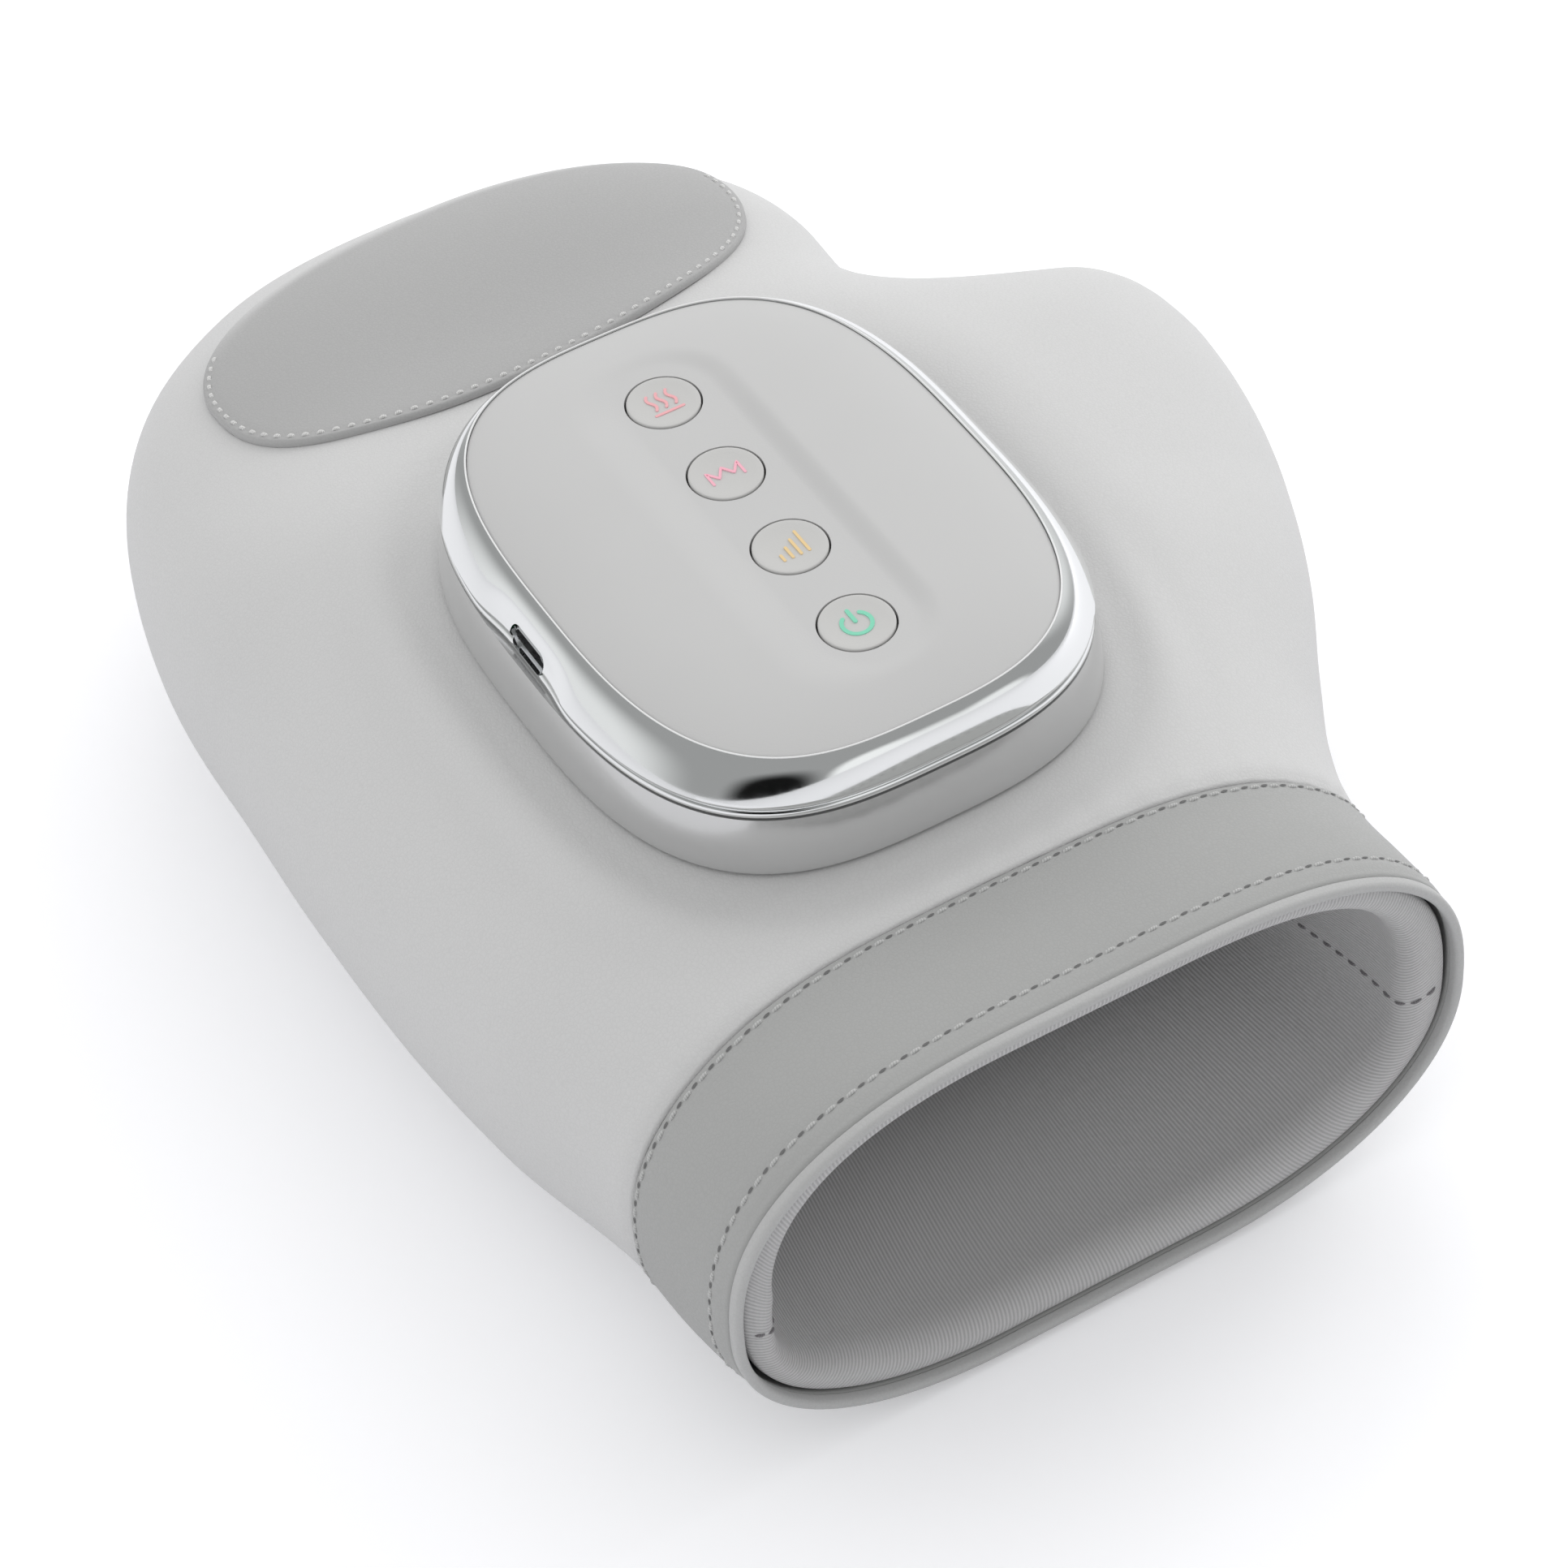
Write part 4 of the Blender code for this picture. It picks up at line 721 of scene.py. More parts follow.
def prism(name, ring, low, high, axis):
    # a flat ring of points drawn out along an axis into a closed solid
    count = len(ring)
    points = []
    for level in (low, high):
        points += [{"x": (level, a, b), "z": (a, b, level)}[axis] for a, b in ring]
    faces = [tuple(range(count - 1, -1, -1)), tuple(range(count, 2 * count))]
    faces += sideFaces(count)
    mesh = bpy.data.meshes.new(name)
    mesh.from_pydata(points, [], faces)
    piece = bpy.data.objects.new(name, mesh)
    bpy.context.scene.collection.objects.link(piece)
    facesOutward(piece)
    return piece


def clothUv(grid):
    # mean metres round the cloth and along it, so the ribs follow the columns
    around = np.linalg.norm(np.diff(grid, axis=1), axis=2)[:len(grid) // 2].mean(axis=0)
    along = np.linalg.norm(np.diff(grid, axis=0), axis=2).mean(axis=1)
    u, v = (np.concatenate(([0], np.cumsum(steps))) for steps in (around, along))
    return np.stack(np.meshgrid(u, v), axis=-1)


def ride(piece, body="mitt", replaces=()):
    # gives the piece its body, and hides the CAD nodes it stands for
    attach(piece, body)
    if replaces:
        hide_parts(*replaces)


def alongLine(at, lengths, points):
    # places on a line of points, by the length along it
    return np.column_stack([np.interp(at, lengths, points[:, k]) for k in range(3)])


def evenPath(points, pitch, closed):
    # places along a line of points at an even pitch, with the direction of the line there
    if closed:
        points = np.concatenate((points, points[:1]))
    lengths = np.concatenate(([0], np.cumsum(np.linalg.norm(np.diff(points, axis=0), axis=1))))
    count = max(int(round(lengths[-1] / pitch)), 2)
    at = (np.arange(count) + (0 if closed else 0.5)) * lengths[-1] / count
    reach = 0.3 * pitch  # the direction is taken from this far to either side
    run = alongLine(np.minimum(at + reach, lengths[-1]), lengths, points)
    run = run - alongLine(np.maximum(at - reach, 0), lengths, points)
    run = run / np.linalg.norm(run, axis=1, keepdims=True)
    return alongLine(at, lengths, points), run, lengths[-1] / count, at, lengths


# pitch, length and radius of the stitches
cuffStitch, soleStitch = (0.0034, 0.0021, 0.00026), (0.0034, 0.0022, 0.00032)
patchStitch, liningStitch = (0.0025, 0.0015, 0.00030), (0.0027, 0.0018, 0.00021)
sewing = {
    "rings": 7, "sides": 8, "slant": 0.06, "proud": 0.30, "bow": 1.25, "broad": 1.15, "endShare": 0.97,
    "holeLong": 0.46, "holeWide": 0.85, "holeLift": 0.22,
}


def copies(template, place, frames):
    # the template's points set at each place in its own directions, and kept off the floor
    points = place[:, None, :] + np.einsum("pk,nkd->npd", template, frames)
    points[..., 2] = np.maximum(points[..., 2], 0)
    return points


def copiedFaces(faces, pointCount, copyCount):
    # the template's faces once for each copy, moved on by its count of points
    return (faces[None] + (np.arange(copyCount) * pointCount)[:, None, None]).reshape(-1, faces.shape[1])


def stitchRow(name, line, normals, look, size, closed=True, holes=True):
    # each stitch is a thread bowed over the leather: a tube whose middle stands proud and whose ends dive in
    pitch, length, radius = size
    rings, sides = sewing["rings"], sewing["sides"]
    place, run, step, at, lengths = evenPath(line, pitch, closed)
    up = alongLine(at, lengths, np.concatenate((normals, normals[:1])) if closed else normals)
    up -= (up * run).sum(axis=1, keepdims=True) * run
    up /= np.linalg.norm(up, axis=1, keepdims=True)
    side = np.cross(up, run)
    run = run + side * sewing["slant"]
    frames = np.stack((run, side, up), axis=1)
    t = np.linspace(-1, 1, rings)[:, None]
    turn = 2 * math.pi * np.arange(sides) / sides
    reach = radius * np.sqrt(np.clip(1 - (t * sewing["endShare"]) ** 4, 0, 1))
    out = radius * (sewing["proud"] - sewing["bow"] * t ** 2) + reach * np.sin(turn)
    across = reach * np.cos(turn) * sewing["broad"]
    template = np.stack((np.repeat(t * length / 2, sides, axis=1), across, out), axis=-1).reshape(-1, 3)
    start = np.array(((0, 1, 2, 3), (0, 3, 4, 7), (4, 5, 6, 7)))
    end = (start + (rings - 1) * sides)[:, ::-1]
    faces = copiedFaces(np.concatenate((gridFaces(rings, sides, True), start, end)), len(template), len(place))
    uv = np.stack(np.broadcast_arrays(t / 2 + 0.5, turn / (2 * math.pi)), axis=-1).reshape(-1, 2)
    points, uv = copies(template, place, frames), np.tile(uv, (len(place), 1))
    threads = meshPiece(name, points, faces, look, uv, weld=False)
    facesOutward(threads)
    ride(threads, "mitt", ())
    if not holes:
        return
    # needle holes: small flat dark ovals halfway between two stitches, painted shade in the holes
    long, wide = (step - length) * sewing["holeLong"], radius * sewing["holeWide"]
    oval = np.column_stack((np.cos(turn) * long, np.sin(turn) * wide, np.zeros(sides)))
    oval = np.concatenate((oval, [[0, 0, 0]])) + (0, 0, radius * sewing["holeLift"])
    fan = np.array([[k, (k + 1) % sides, sides] for k in range(sides)])
    faces = copiedFaces(fan, len(oval), len(place))
    points = copies(oval, place + run * step / 2, frames)
    dots = meshPiece(name + "HoleShade", points, faces, "needleHole", weld=False)
    ride(dots, "mitt", ())


# ---- leather of the mitt

cover = {
    "columns": 196, "soleFrom": 17 / 28, "soleTo": 25 / 28, "tubMargin": 0.0015, "tubExponent": 5,
    "rows": ((0.0, 10), (0.045, 44), (0.56, 34), (0.72, 26), (0.947, 18)),
    "tuck": 0.0007, "tuckRun": 0.0040, "seamGap": 0.0007, "shownGap": 0.0001,
    "tipFrom": 0.965, "tipTo": 0.992, "tipReach": 0.00004,
    "wrinkle": 0.00018, "wrinkleLong": 0.030, "wrinkleFade": 0.02, "smoothFrom": 0.94, "smoothTo": 0.99,
    "floorFrom": 0.001, "floorTo": 0.004, "pucker": 0.00012, "puckerTurns": 0.29, "puckerRun": 0.006,
    "stitchInset": 2,
}
turns = 2 * math.pi * np.arange(cover["columns"]) / cover["columns"]


def coverShares():
    # rows close up near the cuff's seam, in the thumb notch and at the fingertips; the last block follows a sine
    starts, counts = zip(*cover["rows"])
    parts = [np.linspace(a, b, count)[:-1] for a, b, count in zip(starts, starts[1:], counts)]
    last = starts[-1] + (1 - starts[-1]) * np.sin(np.linspace(0, math.pi / 2, counts[-1]))
    return np.concatenate((*parts, last))


def coverSkin():
    # the mitt's rows, that turn into half-ovals of their own height near the fingertips and end in one place
    grid = skinGrid(shares, turns, seamY, tipY, 1 - shares)
    quarter = len(turns) // 4
    above = grid[:, quarter, 2, None] - mitt["fold"]
    below = mitt["fold"] - grid[:, 3 * quarter, 2, None]
    roundTip = mitt["fold"] + np.where(np.sin(turns) > 0, above, below) * np.sin(turns)
    share = smoothStep(shares, cover["tipFrom"], cover["tipTo"])[:, None]
    grid[..., 2] = grid[..., 2] * (1 - share) + roundTip * share
    grid[-1] = grid[-2].mean(axis=0) + (0, cover["tipReach"], 0)
    out = gridNormals(grid)
    out[-2:] = (0, 1, 0)
    return grid, out


def wornSkin():
    # the leather as seen: pulled in and puckered at the seam, with soft wrinkles that fade at the module,
    # the floor and the fingertips
    fromSeam = shares * (tipY - seamY)
    tuck = cover["tuck"] * (1 - smoothStep(fromSeam, 0, cover["tuckRun"])) ** 2
    wrinkle = cover["wrinkle"] * softNoise(skin, cover["wrinkleLong"], 4)
    wrinkle = wrinkle * smoothStep(pastModule(skin[..., 0], skin[..., 1]), 0.0, cover["wrinkleFade"])
    wrinkle = wrinkle * smoothStep(skin[..., 2], cover["floorFrom"], cover["floorTo"])
    wrinkle = wrinkle * (1 - smoothStep(shares, cover["smoothFrom"], cover["smoothTo"]))[:, None]
    wave = np.sin(np.arange(len(turns)) * 2 * math.pi * cover["puckerTurns"])
    pucker = cover["pucker"] * wave * np.exp(-(fromSeam[:, None] / cover["puckerRun"]) ** 2)
    shown = skin + skinOut * (wrinkle + pucker - tuck[:, None])[..., None]
    shown[0, :, 1] += cover["shownGap"]
    shown[..., 2] = np.maximum(shown[..., 2], 0.0)
    return shown


shares = coverShares()
skin, skinOut = coverSkin()
skinShown = wornSkin()


def pull(grid, at, toward, distance):
    # moves one row of the grid toward another by the distance
    run = grid[toward] - grid[at]
    grid[at] += run / np.maximum(np.linalg.norm(run, axis=-1, keepdims=True), distance) * distance


def innerEdge(grid, inset):
    # the line along two sides and the front of a grid, some rows inside its edge
    inside = slice(1, -inset)
    front = grid[-1 - inset, inset:-inset - 1]
    return np.concatenate((grid[inside, inset], front, grid[inside, -1 - inset][::-1]))


def coverPieces():
    # the sole panel takes a block of columns out of the skin, up to the last block of rows;
    # the back keeps the rest round the tub
    rows, columns = skin.shape[:2]
    faces = gridFaces(rows, columns, True)
    row, column = np.divmod(np.arange(len(faces)), columns)
    first, last = round(cover["soleFrom"] * columns), round(cover["soleTo"] * columns)
    soleRow = int(np.argmin(abs(shares - cover["rows"][-1][0])))
    inSole = (column >= first) & (column < last) & (row < soleRow)
    middle = abs(skin.reshape(-1, 3)[faces].mean(axis=1))
    less = module["flange"] - cover["tubMargin"]
    reach = (middle[:, 0] / (module["halfX"] - less)) ** cover["tubExponent"]
    reach = reach + (middle[:, 1] / (module["halfY"] - less)) ** cover["tubExponent"]
    inTub = (reach < 1) & (np.sin(turns[column]) > 0)
    back = meshPiece("backLeather", skinShown, faces[~inSole & ~inTub], "lightLeather", None, 60)
    addWall(back, leather)
    ride(back, "mitt", ["upper_cover"])

    sole = skinShown[:soleRow + 1, first:last + 1].copy()
    turned = np.swapaxes(sole, 0, 1)
    for grid, at, toward in ((sole, -1, -2), (turned, 0, 1), (turned, -1, -2)):
        pull(grid, at, toward, cover["seamGap"])
    soleLeather = meshPiece("soleLeather", sole, gridFaces(*sole.shape[:2]), "soleLeather", None, 60)
    addWall(soleLeather, leather)
    ride(soleLeather, "mitt", ["sole_panel"])
    out = skinOut[:soleRow + 1, first:last + 1]
    line, lineOut = (innerEdge(grid, cover["stitchInset"]) for grid in (sole, out))
    stitchRow("soleStitches", line, lineOut, "cuffThread", soleStitch, closed=False)


coverPieces()
print("back and sole leather ready")

# ---- fingertip patch

patch = {
    "shift": 0.0010, "lengthShare": 0.268, "widthShare": 0.124, "setback": 0.193, "exponent": 2.35, "lean": 0.08,
    "gap": 0.0003, "thick": 0.0010, "edgeRound": 0.0006, "rings": 36, "ringPower": 1.4, "around": 240,
    "foot": 0.0002, "roundShare": 0.9, "stitchInset": 0.0013, "stitchSink": 0.00010, "sewnFrom": 0.44,
    "sewnTo": 1.02, "groove": 0.00016, "grooveHalf": 0.0006, "fadeFrom": 0.25, "fadeTo": 0.75, "rimHighlightRun": 0.0045,
}
patchTurn = 2 * math.pi * np.arange(patch["around"]) / patch["around"]


def superOval(halfX, halfY, exponent, theta):
    # distance from the middle of a superellipse at each true angle
    reach = (abs(np.cos(theta) / halfX) ** exponent + abs(np.sin(theta) / halfY) ** exponent) ** (-1 / exponent)
    return np.stack((reach * np.cos(theta), reach * np.sin(theta)), axis=-1)


def skinPoint(x, y, step=0.0006):
    # the back's surface at a place, and the direction straight out of it
    z = skinLevel(x, y, True)
    slopeX = (skinLevel(x + step, y, True) - skinLevel(x - step, y, True)) / (2 * step)
    slopeY = (skinLevel(x, y + step, True) - skinLevel(x, y - step, True)) / (2 * step)
    normal = np.stack((-slopeX, -slopeY, np.ones_like(z)), axis=-1)
    return np.stack((x, y, z), axis=-1), normal / np.linalg.norm(normal, axis=-1, keepdims=True)


def patchLine(inset):
    # the patch's leaning oval, some way inside its edge: across plus a share of along
    halfX, halfY = patch["lengthShare"] * mitt["width"] - inset, patch["widthShare"] * mitt["length"] - inset
    ring = superOval(halfX, halfY, patch["exponent"], patchTurn)
    ring[:, 1] += patch["lean"] * ring[:, 0]
    return ring + (patch["shift"], tipY - patch["setback"] * mitt["length"])


def fingertipPatch():
    # rings shrink to the middle; the last few turn down round the edge, whose stitch groove fades out toward the
    # fingertips, where the edge is painted paler as a painted rim highlight
    outer = patchLine(0)
    middle = outer.mean(axis=0)
    reach = 1 - np.linspace(0, 1, patch["rings"]) ** patch["ringPower"]
    rows = middle + (outer - middle) * reach[:, None, None]
    base, out = skinPoint(rows[..., 0], rows[..., 1])
    away = np.linalg.norm(rows - outer, axis=-1)
    far = smoothStep(np.sin(patchTurn), patch["fadeFrom"], patch["fadeTo"])
    edge = np.clip(1 - away / patch["edgeRound"], 0, 1)
    height = patch["gap"] + patch["thick"] * np.sqrt(np.clip(1 - edge ** 2 * patch["roundShare"], 0, 1))
    groove = patch["groove"] * np.exp(-((away - patch["stitchInset"]) / patch["grooveHalf"]) ** 2) * (1 - far)
    top = base + out * (height - groove)[..., None]
    grid = np.concatenate(((base[0] + out[0] * (patch["gap"] - patch["foot"]))[None], top))
    # painted rim highlight: toward the fingertips the patch's edge takes the mitt's paler colour over the run given
    pale = far * (1 - smoothStep(away, 0.0, patch["rimHighlightRun"]))
    pale = np.concatenate((pale[:1], pale)).astype(np.float32)
    faces = gridFaces(*grid.shape[:2], True)
    piece = meshPiece("fingertipPatch", grid, faces, "patchLeather", None, 60, weld=False)
    layer = piece.data.attributes.new("paintedRimHighlight", "FLOAT", "POINT")
    layer.data.foreach_set("value", pale.ravel())
    facesOutward(piece)
    ride(piece, "mitt", ["fingertip_patch"])
    line = patchLine(patch["stitchInset"])
    base, out = skinPoint(line[:, 0], line[:, 1])
    lift = patch["gap"] + patch["thick"] - patch["stitchSink"]
    sewn = np.arange(round(patch["around"] * patch["sewnFrom"]), round(patch["around"] * patch["sewnTo"]))
    sewn = sewn % patch["around"]
    stitchRow("patchStitches", (base + out * lift)[sewn], out[sewn], "patchThread", patchStitch,
              closed=False, holes=False)


fingertipPatch()
print("fingertip patch ready")

# ---- cuff

cuff = {
    "rows": 34, "raise": 0.0003, "sink": 0.0005, "edgeRound": 0.0007, "seamStitch": 0.0017, "rimStitch": 0.0041,
    "groove": 0.00016, "grooveHalf": 0.0008, "swell": 0.0005, "uneven": 0.00012, "unevenLong": 0.022,
    "rimRun": 0.0030, "stitchLift": 0.00004, "bindingWide": 0.00080, "bindingDeep": 0.00090,
    "bindingSides": 32, "backPower": 0.12, "frontPower": 0.85,
}
cuffShares = np.linspace(0, 1, cuff["rows"])
cuffGrid = skinGrid(cuffShares, turns, cuffY, seamY, cuffShares)
cuffOut = gridNormals(cuffGrid)


def cuffBand():
    # the folded edge at the seam stands a little proud of the back leather, with a shallow groove under each
    # stitch line and a swell between them
    long = seamY - cuffY
    toSeam, toRim = (1 - cuffShares) * long, cuffShares * long
    lines = {"seamStitches": toSeam - cuff["seamStitch"], "rimStitches": toRim - cuff["rimStitch"]}
    fold = np.sqrt(np.clip(1 - np.clip(1 - toSeam / cuff["edgeRound"], 0, 1) ** 2, 0, 1))
    lift = cuff["raise"] * fold - cuff["sink"] * (1 - fold)
    lift = lift - cuff["groove"] * sum(np.exp(-(away / cuff["grooveHalf"]) ** 2) for away in lines.values())
    shownShare = smoothStep(toRim, 0, cuff["rimRun"])
    lift = lift * shownShare + cuff["swell"] * np.sin(math.pi * np.clip(toRim / long, 0, 1))
    noise = cuff["uneven"] * softNoise(cuffGrid, cuff["unevenLong"], 9) * shownShare[:, None]
    shown = cuffGrid + cuffOut * (lift[:, None] + noise)[..., None]
    shown[0, :, 1] -= gap
    shown[..., 2] = np.maximum(shown[..., 2], 0)
    band = meshPiece("cuffBand", shown, gridFaces(*shown.shape[:2], True), "cuffLeather", None, 60)
    addWall(band, leather)
    ride(band, "mitt", ["cuff_band"])
    for name, distance in lines.items():
        row = int(np.argmin(abs(distance)))
        line = shown[row] + cuffOut[row] * cuff["stitchLift"]
        stitchRow(name, line, cuffOut[row], "cuffThread", cuffStitch)


def cuffRim():
    # a closed cord along the rim, whose section has a round front and a squarer back
    line = cuffGrid[0] - cuffOut[0] * cuff["bindingWide"]
    line[:, 1] = cuffY - gap - cuff["bindingDeep"]
    outward = cuffOut[0] * (1, 0, 1)
    outward /= np.linalg.norm(outward, axis=1, keepdims=True)
    turn = 2 * math.pi * np.arange(cuff["bindingSides"]) / cuff["bindingSides"]
    across, ahead = np.cos(turn), np.sin(turn)
    power = np.where(ahead > 0, cuff["backPower"], cuff["frontPower"])
    across = cuff["bindingWide"] * np.sign(across) * abs(across) ** power
    ahead = cuff["bindingDeep"] * np.sign(ahead) * abs(ahead) ** power
    points = line + outward * across[:, None, None] + np.array((0, 1, 0)) * ahead[:, None, None]
    points = np.concatenate((points, points[:1]))
    # the binding's lighter leather is painted light over the cuff's own colour
    rim = meshPiece("cuffBinding", points, gridFaces(*points.shape[:2], True), "bindingLeather")
    facesOutward(rim)
    ride(rim, "mitt", ["cuff_binding"])


cuffBand()
cuffRim()
print("cuff ready")

# ---- lining and hand pocket

pocket = {
    "widthShare": 0.775, "floor": 0.394 * mitt["fold"], "height": 0.432 * seatZ, "setback": 0.0180,
    "mouthSetback": 0.0120, "exponent": 3.0, "tipExponent": 5.0, "rows": 90, "rowPower": 1.2,
}
roll = {
    "in": 0.0052, "inEnds": 0.0090, "deep": 0.0052, "deepEnds": 0.0036, "limit": 0.66, "bulge": 0.0010,
    "rows": 54, "part": 0.40, "groove": 0.0008, "mouthGap": 0.0007, "clothShare": 0.35,
    "seamColumns": (("liningStitchesThumb", 98), ("liningStitchesOuter", 0)), "seamRows": slice(3, -6),
    "stitchLift": 0.0001, "endsPower": 6,
}


def pocketGrid(rowShares, columns):
    # flattened oval sections that follow the mitt's edges, closing at the fingertips
    mouth, end = seamY + pocket["mouthSetback"], tipY - pocket["setback"]
    middle = pocket["floor"] + pocket["height"] / 2
    across = -np.cos(columns)
    left, right = edges(np.repeat((seamY + rowShares * (tipY - seamY))[:, None], len(columns), axis=1))
    x = (left + right) / 2 + pocket["widthShare"] * (right - left) / 2 * across
    level = (1 - abs(across) ** pocket["exponent"]) ** (1 / pocket["exponent"])
    level = level * ((1 - rowShares ** pocket["tipExponent"]) ** (1 / pocket["tipExponent"]))[:, None]
    z = middle + pocket["height"] / 2 * level * np.sign(np.sin(columns))
    z = np.where(np.isclose(np.sin(columns), 0), middle, z)
    y = np.repeat((mouth + rowShares * (end - mouth))[:, None], len(columns), axis=1)
    return np.stack((x, y, z), axis=-1)


def clothPiece(name, grid, look, flip):
    # a cloth tube that faces inward, with its thickness behind it
    closed = np.concatenate((grid, grid[:, :1]), axis=1)
    piece = meshPiece(name, closed, gridFaces(*closed.shape[:2], flip=flip), look, clothUv(closed), 60)
    if not flip:
        facesOutward(piece, False)
    addWall(piece, lining)
    return piece


def handPocket():
    # rows close up toward the fingertips
    rowShares = np.sin(np.linspace(0, math.pi / 2, pocket["rows"])) ** pocket["rowPower"]
    piece = clothPiece("handPocket", pocketGrid(rowShares, turns), "pocketKnit", False)
    ride(piece, "mitt", ["hand_pocket"])


def cuffLining():
    # the lining rolls a quarter turn over padding at the rim, then draws in to the pocket's mouth
    rim = cuffGrid[0] - cuffOut[0] * (leather + gap + lining * roll["clothShare"])
    rim[:, 1] = cuffY
    mouth = pocketGrid(np.array([0.0]), turns)[0]
    mouth[:, 1] -= roll["mouthGap"]
    inward = mouth - rim
    inward[:, 1] = 0
    ends = abs(np.cos(turns)) ** roll["endsPower"]
    rollIn = roll["in"] + (roll["inEnds"] - roll["in"]) * ends
    rollDeep = roll["deep"] + (roll["deepEnds"] - roll["deep"]) * ends
    rollShare = np.minimum(rollIn / np.linalg.norm(inward, axis=1), roll["limit"])
    t = np.linspace(0, 1, roll["rows"])[:, None]
    turn = np.clip(t / roll["part"], 0, 1) * math.pi / 2
    after = np.clip((t - roll["part"]) / (1 - roll["part"]), 0, 1)
    share = rollShare * np.sin(turn) + (1 - rollShare) * smoothStep(after, 0, 1)
    y = cuffY - roll["bulge"] * np.sin(turn * 2) + rollDeep * (1 - np.cos(turn))
    y = y + (mouth[:, 1] - (cuffY + rollDeep)) * after
    y[0] += roll["groove"]
    grid = rim[None] + inward[None] * share[..., None]
    grid[..., 1] = y
    piece = clothPiece("rolledLining", grid, "liningKnit", True)
    ride(piece, "mitt", ["cuff_lining"])
    out = -gridNormals(grid)
    for name, column in roll["seamColumns"]:
        line, lineOut = grid[roll["seamRows"], column], out[roll["seamRows"], column]
        stitchRow(name, line + lineOut * roll["stitchLift"], lineOut, "liningThread", liningStitch,
                  closed=False, holes=False)


handPocket()
cuffLining()
print("lining and pocket ready")

# ---- padding between the leather and the pocket

padding = {
    "foam": {"upper": 0.0050, "lower": 0.0030}, "foamLess": 0.0008, "film": 0.0006, "clearance": 0.0005,
    "ease": 0.0006, "bagGap": 0.0008, "bagInnerGap": 0.0012, "bagUnderTub": 0.0010, "bagThin": 0.0030,
    "rows": 64, "columns": 140, "parts": {"upper": slice(15, 56), "lower": slice(85, 126)},
    "reach": {"foam": (0.08, 0.93), "bag": (0.14, 0.84), "film": (0.30, 0.62)},
    "holeFrom": -0.0125, "holeTo": 0.0050,
}


def layerPiece(name, outer, inner, look, replaced, hole=None):
    # a solid between two matched sheets, with a hole where the module's tub goes through
    rows, columns = outer.shape[:2]
    count = rows * columns
    top = gridFaces(rows, columns)
    right = np.arange(1, rows) * columns + columns - 1
    far = (rows - 1) * columns + np.arange(columns - 2, -1, -1)
    rim = np.concatenate((np.arange(columns), right, far, np.arange(rows - 2, 0, -1) * columns))
    after = np.roll(rim, -1)
    wall = np.stack((after, rim, rim + count, after + count), axis=-1)
    faces = np.concatenate((top, top[:, ::-1] + count, wall))
    piece = meshPiece(name, np.concatenate((outer.reshape(-1, 3), inner.reshape(-1, 3))), faces, look, None, 50)
    facesOutward(piece)
    if hole is not None:
        cutBy(piece, prism(name + "Hole", hole, seatZ + padding["holeFrom"], seatZ + padding["holeTo"], "z"))
    ride(piece, "mitt", [replaced])


def paddingPieces():
    # the same stretches of rows and columns as the CAD layers, drawn three times finer: a foam pad under
    # the leather, an air bag between it and the film, and the heating film on the pocket
    rows = np.linspace(0.0, 1.0, padding["rows"])[1:-4]
    layerTurns = 2 * math.pi * np.arange(padding["columns"]) / padding["columns"]
    outside, inside = skinGrid(rows, layerTurns, seamY, tipY, 1 - rows), pocketGrid(rows, layerTurns)
    outsideOut, insideOut = gridNormals(outside), gridNormals(inside)
    less = module["clampMargin"] - gap
    tubHole = superOval(module["halfX"] - less, module["halfY"] - less, module["exponent"], layerTurns)
    overTub = pastModule(outside[..., 0], outside[..., 1]) < 0
    deep, film = leather + padding["clearance"] + padding["ease"], lining + gap + padding["film"]
    for side, columns in padding["parts"].items():
        foam = padding["foam"][side]
        bagOut = outside - outsideOut * (deep + foam + padding["bagGap"])
        bagIn = inside + insideOut * (film + padding["bagInnerGap"])
        if side == "upper":
            highest = np.where(overTub, tubZ - padding["bagUnderTub"], seatZ)
            bagOut[..., 2] = np.maximum(np.minimum(bagOut[..., 2], highest), bagIn[..., 2] + padding["bagThin"])
        foamOut, foamIn = outside - outsideOut * deep, outside - outsideOut * (deep + foam - padding["foamLess"])
        filmOut, filmIn = inside + insideOut * film, inside + insideOut * (lining + gap)
        for key, ending, node, outer, inner, look, slot, fill in (
                ("foam", "Foam", "foam_", foamOut, foamIn, "foam", "foam", 0.7),
                ("bag", "AirBag", "airbag_", bagOut, bagIn, "bladder", "bladder", 0.6),
                ("film", "HeaterFilm", "heating_film_", filmOut, filmIn, "heaterFilm", "heater_film", None)):
            low, high = padding["reach"][key]
            pick = (rows >= low) & (rows <= high)
            outer, inner = outer[pick][:, columns], inner[pick][:, columns]
            hole = tubHole if side == "upper" and key == "foam" else None
            layerPiece(side + ending, outer, inner, look, node + side, hole)


paddingPieces()
print("padding ready")

# ---- control module

shell = {
    "around": 384, "panelX": module["halfX"] - module["stepX"] - module["ringX"],
    "panelY": module["halfY"] - module["stepY"] - module["ringY"], "middle": (0.0004, 0.0005),
    "foot": 0.0008, "footSteps": 9, "leanFrom": 0.15, "leanSteps": 10, "leanPower": 1.6, "flangeThick": 0.002,
    "crown": 0.00275, "crownExponent": 5.0, "edgeGap": 0.00005,
}
theta = 2 * math.pi * np.arange(shell["around"]) / shell["around"]
panelX, panelY = shell["panelX"], shell["panelY"]
bezelX, bezelY = module["halfX"] - module["stepX"], module["halfY"] - module["stepY"]
skirtTop = panelZ - module["bezelHeight"] - module["gap"]


def ringPiece(name, profile, look, smoothAngle=35, shape=None):
    # a closed profile of (half width, half length, height) carried round a superellipse by true angle
    grid = np.array([np.column_stack((superOval(a, b, module["exponent"], theta), np.full(len(theta), z)))
                     for a, b, z in profile + profile[:1]])
    if shape:
        grid = shape(grid)
    piece = meshPiece(name, grid, gridFaces(*grid.shape[:2], True), look, None, smoothAngle)
    facesOutward(piece)
    return piece


